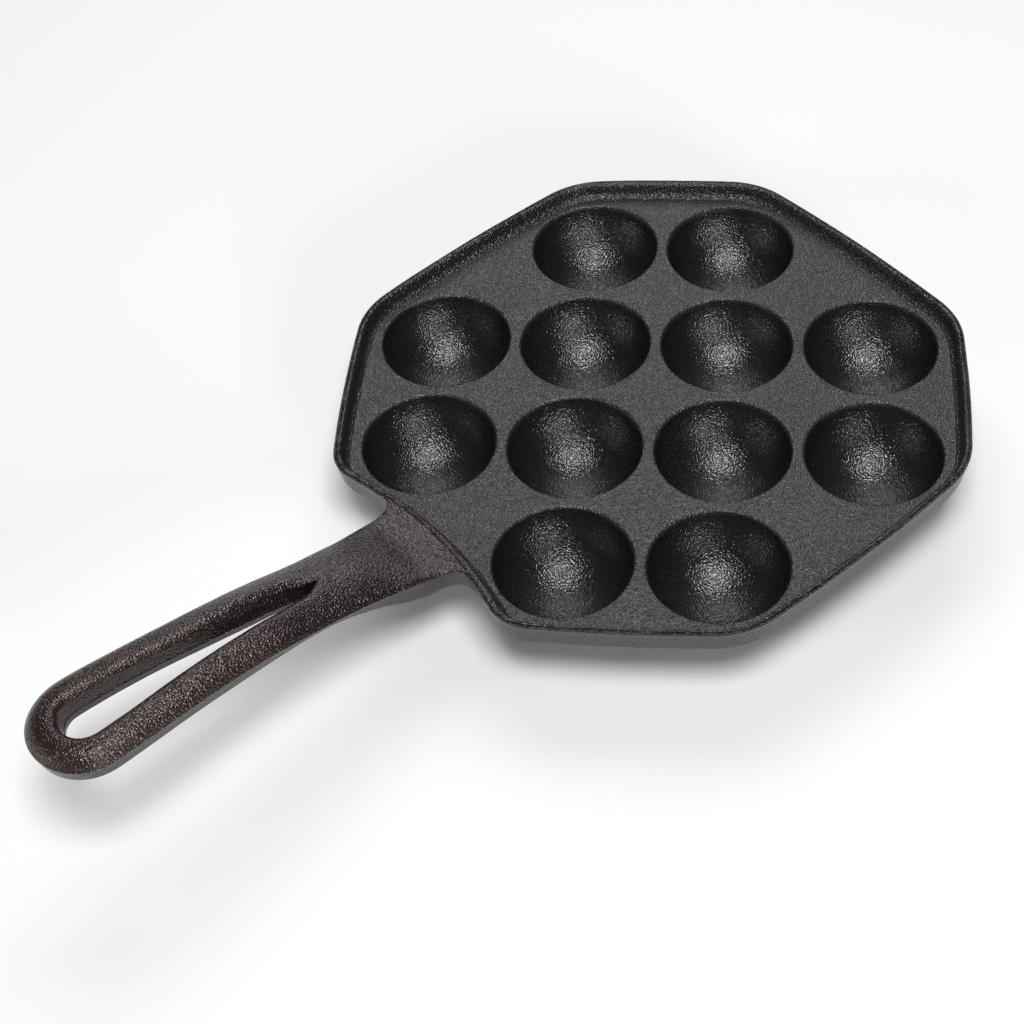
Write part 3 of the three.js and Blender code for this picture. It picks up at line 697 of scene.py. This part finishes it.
def handle_top(h, out, across):
    """Height of the top: its rise less a crown that grows with the square of the way to the edge."""
    edge = h.half_width * along_handle(h, "width", out) - handle_edge(h, out)[3]
    from_middle = np.hypot(across, np.maximum(out - h.end, 0))
    ratio = np.minimum(from_middle / edge, 1)
    crown = h.crown * along_handle(h, "crown", out) * ratio**2
    return h.top + h.rise * along_handle(h, "rise", out) - crown


def handle_rows(h):
    """Plan points and outward directions of the outer edge and of the slot's edge, row by row.

    The rows run round the flare at the plate, a cubic curve that leaves the wall and joins the neck without
    a corner, along the neck to the slot's tip, beside the slot, where they are closer near its tip, and a
    quarter turn round the end.
    """
    t = FLARE_ROWS[:, None]
    start, leave = h.base[-1], h.base_normal[-1] @ np.array([[0, 1], [-1, 0]])
    onward = 0.2
    neck_width = h.half_width * along_handle(h, "width", h.root_fillet + np.array([0, onward]))
    stop = np.array([neck_width[0], h.root_fillet])
    join = np.array([(neck_width[1] - neck_width[0]) / onward, 1.0])
    pull = 0.55 * np.abs(start - stop)
    a, b = start + pull[0] * leave, stop - pull[1] * join
    flare = (1 - t) ** 3 * start + 3 * (1 - t) ** 2 * t * a + 3 * (1 - t) * t**2 * b + t**3 * stop
    heading = (1 - t) ** 2 * (a - start) + 2 * (1 - t) * t * (b - a) + t**2 * (stop - b)
    heading /= np.hypot(*heading.T)[:, None]
    tip = SLOT["along"][0] * h.reach
    neck = np.linspace(h.root_fillet, tip, NECK_ROWS + 1)[1:]
    arm = tip + (h.end - tip) * np.linspace(0, 1, ARM_ROWS + 1)[1:] ** 1.15
    beyond = np.concatenate([neck, arm])
    along = h.half_width * along_handle(h, "width", beyond)
    lean = -np.arctan(np.gradient(along, beyond))
    outer = np.concatenate([flare, np.stack([along, beyond], 1)])
    flare_normal = heading @ np.array([[0, -1], [1, 0]])
    normal = np.concatenate([flare_normal, toward(lean)])
    out = outer[:, 1]
    in_flare = np.arange(len(out)) < len(flare)
    slot_across = np.where(out > tip, h.slot_half_width * station_curve(SLOT, "width", out / h.reach), 0)
    slot_lean = np.arctan(np.clip(np.gradient(slot_across, out), 0, 0.5))
    inner = np.stack([slot_across, out], 1)
    slot_normal = np.stack([-np.cos(slot_lean), np.sin(slot_lean)], 1)
    middle_normal = np.stack([0 * out, in_flare * normal[:, 1]], 1)
    inner_normal = np.where((out > tip)[:, None], slot_normal, middle_normal)
    end = toward(np.radians(np.linspace(0, 90, END_ROWS + 1)[1:]))
    middle = np.array([[0.0, h.end]])
    outer = np.concatenate([outer, middle + end * h.half_width])
    normal = np.concatenate([normal, end])
    inner = np.concatenate([inner, middle + end * h.slot_half_width])
    inner_normal = np.concatenate([inner_normal, -end])
    return outer, normal, inner, inner_normal, len(flare) + len(neck) - 1


def inset_points(base, direction, inset, height):
    """Edge points moved into the iron against their outward direction, with a height for each."""
    xy = base[:, None] - direction[:, None] * inset[..., None]
    return np.concatenate([xy, height[..., None]], -1)


def ease(value):
    """Smooth step from nought to one."""
    value = np.clip(value, 0, 1)
    return value * value * (3 - 2 * value)


def handle_skin(s, h):
    """Handle: rows of closed sections, each from the slot's edge over the top, down the side and back under.

    Only the half with positive x is worked out; the other half is its mirror image, welded on the middle.
    The first row lies on the plate's hollow wall, and the hollow fades out over the next rows.
    """
    outer, normal, inner, inner_normal, tip_row = handle_rows(h)
    closed = (np.arange(len(outer)) <= tip_row)[:, None]
    away = ease((outer[:, 1:] - outer[0, 1]) / ROOT_RUN)
    top_edge, lean, stop_turn, _ = handle_edge(h, np.clip(outer[:, 1:] - outer[0, 1], 0, h.end))
    low_edge = s.bottom_edge + (h.under_edge - s.bottom_edge) * away
    draft = s.draft + (h.side_draft - s.draft) * away
    opening = np.clip((inner[:, 1:] - inner[tip_row, 1]) / TIP_RUN, 0.01, 1) ** 0.5
    opening = np.where(closed, 0, opening)
    fading = 1 - ease((inner[:, 1:] / h.reach - NARROW_END) / NARROW_FADE)
    narrow = -np.minimum(NARROW_SHARE * inner[:, :1], h.slot_narrowing) * fading
    share = (h.base[:, 0] / h.base[-1, 0])[None, :, None]
    hollow = (1 - away) * (h.base[:, 1] - h.base[-1, 1])

    def across_points(inset_in, inset_out):
        """Rows of points from the slot's edge or the middle straight across to the outer edge, both inset."""
        stop = outer - normal * inset_out
        start = inner - inner_normal * np.where(closed, inset_out, inset_in)
        points = start[:, None] * (1 - share) + stop[:, None] * share
        points[..., 1] += hollow
        points[0] = h.base - h.base_normal * inset_out[0]
        return points

    start_turn = np.pi / 2 + lean
    turn = start_turn + (stop_turn - start_turn) * np.linspace(0, 1, EDGE_POINTS)[None]
    rounding = top_edge * (np.cos(turn) - np.cos(stop_turn))
    top_xy = across_points(h.slot_edge * opening + h.slot_lean * opening, rounding[:, :1])
    top_z = handle_top(h, top_xy[..., 1], top_xy[..., 0])
    low_xy = across_points(h.slot_low_edge * opening + narrow, draft + low_edge)
    low_z = h.low + h.under_rise * along_handle(h, "under", low_xy[..., 1])
    top = np.concatenate([top_xy, top_z[..., None]], -1)
    low = np.concatenate([low_xy, low_z[..., None]], -1)[:, ::-1]
    edge_z = top_z[:, -1:] - top_edge * (np.cos(lean) - np.sin(stop_turn))
    foot_z = low_z[:, -1:] + low_edge
    upper_z = edge_z + top_edge * (np.sin(turn) - np.sin(stop_turn))
    flash = h.flash * away * (np.arange(EDGE_POINTS) == EDGE_POINTS - 1)[None]
    upper = inset_points(outer, normal, rounding - flash, upper_z)
    down = WALL_SHARES[None]
    side = inset_points(outer, normal, draft * down, edge_z * (1 - down) + foot_z * down)
    under = np.radians(np.linspace(180, 270, BOTTOM_POINTS))[None]
    lower_z = foot_z + low_edge * np.sin(under)
    lower = inset_points(outer, normal, draft + low_edge * (1 + np.cos(under)), lower_z)
    ring = np.concatenate([top[:, :-1], upper, side, lower, low[:, 1:]], 1)
    hole = slot_wall(h, inner, inner_normal, opening, narrow, top_z[:, :1], low_z[:, :1])[tip_row:]

    skin = Skin()
    for side_sign in (1, -1):
        mirror = np.array([side_sign, -1, 1])
        place = np.array([0, h.wall_y, 0])
        skin.add(ring * mirror + place, flip=side_sign < 0)
        skin.add(hole * mirror + place, flip=side_sign < 0)
    skin.add(root_face(s, h), flip=True)
    return skin


def slot_wall(h, inner, inner_normal, opening, narrow, top_z, low_z):
    """The slot's wall, row by row: an arc at its lower edge, the parting line's low ridge, a wall that leans
    outward above it, and an arc at its upper edge. All of them grow with the opening from the slot's tip."""
    edge = h.slot_edge * opening
    lean = h.slot_lean * opening
    low_edge = h.slot_low_edge * opening
    lip_z, heel_z = top_z - edge, low_z + low_edge
    parting_z = heel_z + np.minimum(h.slot_parting, (lip_z - heel_z) / 3)
    ridge = 0.12 * opening
    rise = np.linspace(0, 0.8, 5)[None]
    heel = np.radians(np.linspace(270, 180, BOTTOM_POINTS))[None]
    arch = np.radians(np.linspace(180, 90, EDGE_POINTS))[None]
    parts = (
        (narrow + low_edge * (1 + np.cos(heel)), heel_z + low_edge * np.sin(heel)),
        (narrow - h.flash * opening, parting_z),
        (narrow + (lean - narrow) * rise, parting_z + ridge + (lip_z - parting_z) * rise * 0.98),
        (lean + edge * (1 + np.cos(arch)), lip_z + edge * np.sin(arch)),
    )
    return np.concatenate([inset_points(inner, inner_normal, *part) for part in parts], 1)


def root_face(s, h):
    """Face of the handle against the plate: the plate's own wall section by columns along the wall."""
    profile, first, last = rim_profile(s)
    wall = profile[first : last + 1, :, None]
    x, out = (h.base[None] - h.base_normal[None] * wall[:, 0, :, None]).transpose(2, 0, 1)
    half = np.stack([x, h.wall_y - out, np.broadcast_to(wall[:, 1], x.shape)], -1)
    return np.concatenate([half[:, ::-1] * np.array([-1, 1, 1]), half[:, 1:]], 1)


def root_columns(s):
    """The plate's own edge points along its hollow side, from the middle to the end of the flare."""
    found = []
    for index in range(len(s.cups)):
        _, half, border, edge = cell_rays(s, index)
        found.append(edge[(border <= half + SAME) & (edge[:, 4] > 0.999)])
    found = np.concatenate(found)
    found = found[(found[:, 0] > -1e-3) & (found[:, 0] < s.flare + 1e-3)]
    return found[np.unique(np.round(found[:, 0], 4), return_index=True)[1]]


# Finishes

# IOR, roughness and depth of the grain in metres. Oil gathers in the bowls, and hands polish the handle
DECK_IRON = (1.6, 0.32, 0.00034)
BOWL_IRON = (1.8, 0.29, 0.00024)
HANDLE_IRON = (1.6, 0.26, 0.00027)
# How far patches of thicker and thinner oil film lower and raise the roughness, and its least value
PATCH_GLOSS = 0.04
PATCH_DULL = 0.05
LEAST_ROUGHNESS = 0.17
# The parting line's chips stand four grains high, are wider than a grain, and are polished
CHIP_RISE = 4.0
CHIPS_PER_GRAIN = 0.6
CHIP_GLOSS = 0.4
# Strength of the ragged band on the rim's inner side, and millimetres over which the outer chips and that
# band fade
INNER_BAND = 0.3
CHIP_FADE = 0.5
INNER_FADE = 0.4
# Strength of the wear on the rim's top, and of the wear and painted copper sheen on the loop
RIM_WEAR = 0.1
HANDLE_WEAR_AND_SHEEN = 0.6
# Millimetres from the plate where the handle's wear and painted sheen start, and the share of its reach over
# which they grow
WEAR_AND_SHEEN_START = 25.0
WEAR_AND_SHEEN_RUN = 0.6


def linear(hex_colour):
    """sRGB hex to the linear colour that the shader takes."""
    value = np.array([int(hex_colour[i : i + 2], 16) for i in (1, 3, 5)]) / 255
    value = np.where(value <= 0.04045, value / 12.92, ((value + 0.055) / 1.055) ** 2.4)
    return (*value, 1.0)


def add_node(tree, kind, output=None, inputs=None, **fields):
    """Adds a node with its fields set by name, and gives back the output that is asked for.

    The kind goes without the prefix that all of them share. Each input takes a number, a colour or another
    node's output.
    """
    node = tree.nodes.new("ShaderNode" + kind)
    for name, value in fields.items():
        setattr(node, name, value)
    for name, value in (inputs or {}).items():
        if isinstance(value, bpy.types.NodeSocket):
            tree.links.new(value, node.inputs[name])
        else:
            node.inputs[name].default_value = value
    return node.outputs[output] if output else None


def seasoned_iron(name, finish, base, sheen, iron):
    """Seasoned cast iron: cast in sand, and then rubbed with oil that is baked on.

    To the eye it is black oxide under a thin oil film, so it is nearly black with a dull gloss. The sand
    leaves a fine pebbled skin that breaks the highlights into specks. Its grains are drawn about half a
    millimetre wide, a little coarser than the sand, so that they show. The attribute "worn" brings in the
    copper brown where the film is thin, and on the handle's upward slopes also a painted copper sheen. The
    attribute "seam" is the parting line that the two halves of the mould leave: ragged chips, dark with soot
    and polished by use. On the rim's inner side it is a weaker ragged band, a little darker and glossier.
    """
    ior, roughness, grain_depth = iron
    material = bpy.data.materials.new(name)
    material.use_nodes = True
    tree = material.node_tree
    tree.nodes.clear()
    place = add_node(tree, "TexCoord", "Object")
    wear_and_sheen = add_node(tree, "Attribute", "Fac", attribute_name="wear_and_sheen")
    seam = add_node(tree, "Attribute", "Fac", attribute_name="seam")
    grain = {"Vector": place, "Scale": MM / finish.grain, "Detail": 0.0}
    chip = {"Vector": place, "Scale": CHIPS_PER_GRAIN * MM / finish.grain, "Detail": 1.0}
    patch = {"Vector": place, "Scale": MM / finish.patch, "Detail": 3.0, "Roughness": 0.6}
    pebbles, ragged, patches = [add_node(tree, "TexNoise", "Fac", noise) for noise in (grain, chip, patch)]

    chips = add_node(tree, "Math", "Value", {0: seam, 1: ragged}, operation="MULTIPLY")
    height = add_node(tree, "Math", "Value", {0: chips, 1: CHIP_RISE, 2: pebbles}, operation="MULTIPLY_ADD")
    bump = add_node(tree, "Bump", "Normal", {"Height": height, "Strength": 1.0, "Distance": grain_depth})

    # Share of copper brown: wear, and on the handle also painted copper sheen, patchy with the oil film
    copper_share = add_node(tree, "Math", "Value", {0: wear_and_sheen, 1: patches}, operation="MULTIPLY", use_clamp=True)
    oxide, copper, soot = linear(base), linear(finish.wear_and_sheen), linear(finish.seam)
    skin = add_node(tree, "Mix", "Result", {"Factor": copper_share, "A": oxide, "B": copper}, data_type="RGBA")
    stained = add_node(tree, "Mix", "Result", {"Factor": chips, "A": skin, "B": soot}, data_type="RGBA")

    film = {"Value": patches, "To Min": roughness - PATCH_GLOSS, "To Max": roughness + PATCH_DULL}
    gloss = add_node(tree, "MapRange", "Result", film)
    polished = add_node(tree, "Math", "Value", {0: seam, 1: -CHIP_GLOSS, 2: gloss}, operation="MULTIPLY_ADD")
    least = add_node(tree, "Math", "Value", {0: polished, 1: LEAST_ROUGHNESS}, operation="MAXIMUM")

    sockets = {
        "Base Color": stained,
        "Metallic": 0.0,
        "Roughness": least,
        "IOR": ior,
        "Specular Tint": linear(sheen),
        "Normal": bump,
    }
    shader = add_node(tree, "BsdfPrincipled", "BSDF", sockets)
    add_node(tree, "OutputMaterial", inputs={"Surface": shader})
    return material


def bowl_iron(finish):
    """The bowls' iron: painted shade makes it darker, oil that gathers there glossier. Made once and shared.
    """
    name = "seasoned iron, bowls"
    if name in bpy.data.materials:
        return bpy.data.materials[name]
    return seasoned_iron(name, finish, finish.bowl, finish.bowl_sheen, BOWL_IRON)


def set_attribute(obj, name, values):
    """One number for each point of the mesh."""
    layer = obj.data.attributes.new(name, "FLOAT", "POINT")
    layer.data.foreach_set("value", np.asarray(values, np.float32))


def point_values(obj, field):
    """Three numbers for each point of the mesh: its place in metres, or its smooth normal."""
    flat = np.empty(len(obj.data.vertices) * 3)
    obj.data.vertices.foreach_get(field, flat)
    return flat.reshape(-1, 3)


def faces_within(obj, inside):
    """One for each face whose points are all inside, and nought for the rest."""
    corners = np.empty(len(obj.data.loops), np.int32)
    obj.data.loops.foreach_get("vertex_index", corners)
    starts = np.empty(len(obj.data.polygons), np.int32)
    obj.data.polygons.foreach_get("loop_start", starts)
    return np.logical_and.reduceat(inside[corners], starts).astype(np.int32)


def rim_chips(s, points):
    """Strength of the ragged marks on the rim, by how far in from its outer edge a point lies.

    The parting line's chips are full on the strip of the top beside the rounded outer edge, and fade out down
    that edge and the wall. On the rounded inner edge and the slope below that, a weaker ragged band makes the
    iron a little darker, bumpier and glossier.
    """
    clear = 0.2
    raised = points[:, 2] > s.deck_top + clear
    x, y, z = points[raised].T
    edge = cross_edge(s, np.zeros((len(x), 2)), np.arctan2(y, x), 0, 0)[0]
    inset = edge - np.hypot(x, y)
    below = (s.rim_height - z) / (2 * s.rim_edge)
    fall = ease(1.2 - below)
    outer = ease((s.seam_width - inset) / CHIP_FADE) * fall
    inner = INNER_BAND * ease((inset - s.rim_top + s.rim_inner_edge) / INNER_FADE)
    chips = np.zeros(len(points))
    chips[raised] = np.maximum(outer, inner)
    return chips


def rim_wear(s, points):
    """Wear of the plate: slight on the rim's top, and fading out down its rounded edges."""
    return RIM_WEAR * ease((points[:, 2] - s.rim_height + s.rim_edge) / 0.5)


def handle_wear_and_sheen(h, out, upward):
    """Wear of the handle, and a painted copper sheen on it, which grow with the way out from the plate.

    Both are full on slopes that face up, where the lamps above light them, half on the level top, and none on
    upright sides and underneath.
    """
    facing_up = ease(upward / 0.5) * ease((1.15 - upward) / 0.3)
    return HANDLE_WEAR_AND_SHEEN * ease((out - WEAR_AND_SHEEN_START) / (WEAR_AND_SHEEN_RUN * h.reach)) * facing_up


# Operators


class PAN_OT_plate(bpy.types.Operator):
    """Deck with twelve mouths, and the raised rim around it"""

    bl_idname = "pan.add_plate"
    bl_label = "Add Plate"

    def execute(self, context):
        s = pan_shape(context)
        finish = read_sizes(context.scene.pan_finish)
        plate = plate_skin(s).to_object("pan_plate", s.waviness, s.centre_y)
        points = point_values(plate, "co") * MM - np.array([0, s.centre_y, 0])
        set_attribute(plate, "seam", rim_chips(s, points))
        set_attribute(plate, "wear_and_sheen", rim_wear(s, points))
        iron = seasoned_iron("seasoned iron, deck and rim", finish, finish.deck, finish.deck_sheen, DECK_IRON)
        plate.data.materials.append(iron)
        plate.data.materials.append(bowl_iron(finish))
        # Faces inside the mouths take the bowls' iron, with its darker colour of painted shade
        near = np.hypot(*(points[:, None, :2] - s.cups[None]).transpose(2, 0, 1)).min(1)
        in_mouths = faces_within(plate, near < s.mouth_radius - s.lip_radius)
        plate.data.polygons.foreach_set("material_index", in_mouths)
        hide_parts("deck", "rim")
        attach(plate, "root")
        return {"FINISHED"}


class PAN_OT_bowls(bpy.types.Operator):
    """Twelve round bowls below the deck"""

    bl_idname = "pan.add_bowls"
    bl_label = "Add Bowls"

    def execute(self, context):
        s = pan_shape(context)
        iron = bowl_iron(read_sizes(context.scene.pan_finish))
        for index in range(len(s.cups)):
            number = f"{index + 1:02d}"
            bowl = bowl_skin(s, index).to_object(f"bowl_{number}", s.waviness, s.centre_y)
            bowl.data.materials.append(iron)
            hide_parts(f"cup_{number}")
            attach(bowl, "root")
        return {"FINISHED"}


class PAN_OT_handle(bpy.types.Operator):
    """Rising handle with its slotted loop"""

    bl_idname = "pan.add_handle"
    bl_label = "Add Handle"

    def execute(self, context):
        s = pan_shape(context)
        h = handle_shape(context, s)
        finish = read_sizes(context.scene.pan_finish)
        handle = handle_skin(s, h).to_object("pan_handle", s.waviness, s.centre_y)
        out = h.wall_y - (point_values(handle, "co")[:, 1] * MM - s.centre_y)
        # Copper wear, with a painted copper sheen on the slopes that face up
        set_attribute(handle, "wear_and_sheen", handle_wear_and_sheen(h, out, point_values(handle, "normal")[:, 2]))
        iron = seasoned_iron("seasoned iron, handle", finish, finish.handle, finish.handle_sheen, HANDLE_IRON)
        handle.data.materials.append(iron)
        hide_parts("handle_neck", "handle_loop")
        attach(handle, "root")
        return {"FINISHED"}


# Stage

# Azimuth and height angle in degrees, distance, width and height in metres, power in watts
LAMPS = {
    "lamp_over": (-30, 70, 1.3, 0.54, 0.54, 12.8),
    "lamp_right": (-16, 18, 3.0, 0.7, 0.7, 30.0),
    "lamp_handle": (-105, 15, 3.0, 0.7, 0.7, 12.0),
    "lamp_far": (143, 42, 1.6, 1.3, 0.8, 11.5),
}
LAMP_AIM = np.array([0.0, 0.06, 0.02])
WORLD_STRENGTH = 0.05
FLOOR_HALF = 4.0
FLOOR_ROUGHNESS = 0.9
# Place in metres, turn in degrees, lens and sensor in millimetres
CAMERA_PLACE = (0.319484, -0.212460, 0.464723)
CAMERA_TURN = (40.3317, 4.3494, 50.6113)
CAMERA_LENS = 67.267
CAMERA_SENSOR = 36.0


def add_floor(hex_colour):
    """Square floor of matt paint, which is pale, keeps the pan's shadow and mirrors no lamp."""
    half = FLOOR_HALF
    mesh = bpy.data.meshes.new("floor")
    corners = [(-half, -half, 0), (half, -half, 0), (half, half, 0), (-half, half, 0)]
    mesh.from_pydata(corners, [], [(0, 1, 2, 3)])
    floor = bpy.data.objects.new("floor", mesh)
    bpy.context.scene.collection.objects.link(floor)
    paint = bpy.data.materials.new("matt pale floor")
    paint.use_nodes = True
    shader = paint.node_tree.nodes["Principled BSDF"]
    shader.inputs["Base Color"].default_value = linear(hex_colour)
    shader.inputs["Roughness"].default_value = FLOOR_ROUGHNESS
    mesh.materials.append(paint)


def add_softbox(name, azimuth, elevation, distance, width, height, power):
    """Oblong lamp that faces the aim from a compass direction, height angle and distance, out of sight."""
    a, e = math.radians(azimuth), math.radians(elevation)
    away = np.array([math.cos(a) * math.cos(e), math.sin(a) * math.cos(e), math.sin(e)])
    data = bpy.data.lights.new(name, "AREA")
    data.shape = "RECTANGLE"
    data.size = width
    data.size_y = height
    data.energy = power
    lamp = bpy.data.objects.new(name, data)
    lamp.location = LAMP_AIM + away * distance
    lamp.rotation_euler = (math.pi / 2 - e, 0, a + math.pi / 2)
    lamp.visible_camera = False
    bpy.context.scene.collection.objects.link(lamp)


def add_world():
    """Faint even light from all sides."""
    world = bpy.data.worlds.new("studio")
    world.use_nodes = True
    background = world.node_tree.nodes["Background"]
    background.inputs["Color"].default_value = linear("#FFFFFF")
    background.inputs["Strength"].default_value = WORLD_STRENGTH
    bpy.context.scene.world = world


def add_camera():
    """The camera, where it stands for the photograph."""
    camera = bpy.data.objects.new("camera", bpy.data.cameras.new("camera"))
    camera.location = CAMERA_PLACE
    camera.rotation_euler = np.radians(CAMERA_TURN)
    camera.data.lens = CAMERA_LENS
    camera.data.sensor_width = CAMERA_SENSOR
    bpy.context.scene.collection.objects.link(camera)
    bpy.context.scene.camera = camera


class PAN_OT_stage(bpy.types.Operator):
    """Pale floor, soft lamps and the camera"""

    bl_idname = "pan.add_stage"
    bl_label = "Add Stage"

    def execute(self, context):
        stage = context.scene.pan_stage
        add_floor(stage.floor)
        add_world()
        for name, (*place, power) in LAMPS.items():
            add_softbox(name, *place, power * stage.lamp)
        add_camera()
        context.scene.view_settings.view_transform = "Standard"
        return {"FINISHED"}


# Add-on


class PAN_PT_panel(bpy.types.Panel):
    """Sizes, colours and the steps that build the pan"""

    bl_idname = "PAN_PT_panel"
    bl_label = "Takoyaki Pan"
    bl_space_type = "VIEW_3D"
    bl_region_type = "UI"
    bl_category = "Takoyaki Pan"

    def draw(self, context):
        for operator in OPERATORS:
            self.layout.operator(operator.bl_idname)
        for group, holder in SETTINGS:
            box = self.layout.box()
            for name in holder.__annotations__:
                box.prop(getattr(context.scene, group), name)


SETTINGS = (
    ("pan_plate", PanPlateSettings),
    ("pan_handle", PanHandleSettings),
    ("pan_finish", PanFinishSettings),
    ("pan_stage", PanStageSettings),
)
OPERATORS = (PAN_OT_plate, PAN_OT_bowls, PAN_OT_handle, PAN_OT_stage)


def register():
    """Gives Blender the settings, the operators and the panel."""
    for group, holder in SETTINGS:
        bpy.utils.register_class(holder)
        setattr(bpy.types.Scene, group, bpy.props.PointerProperty(type=holder))
    for operator in OPERATORS:
        bpy.utils.register_class(operator)
    bpy.utils.register_class(PAN_PT_panel)


def unregister():
    """Takes them back in the opposite order."""
    bpy.utils.unregister_class(PAN_PT_panel)
    for operator in reversed(OPERATORS):
        bpy.utils.unregister_class(operator)
    for group, holder in reversed(SETTINGS):
        delattr(bpy.types.Scene, group)
        bpy.utils.unregister_class(holder)


def main():
    register()
    bpy.ops.pan.add_plate()
    bpy.ops.pan.add_bowls()
    bpy.ops.pan.add_handle()
    bpy.ops.pan.add_stage()


if __name__ == "__main__":
    main()
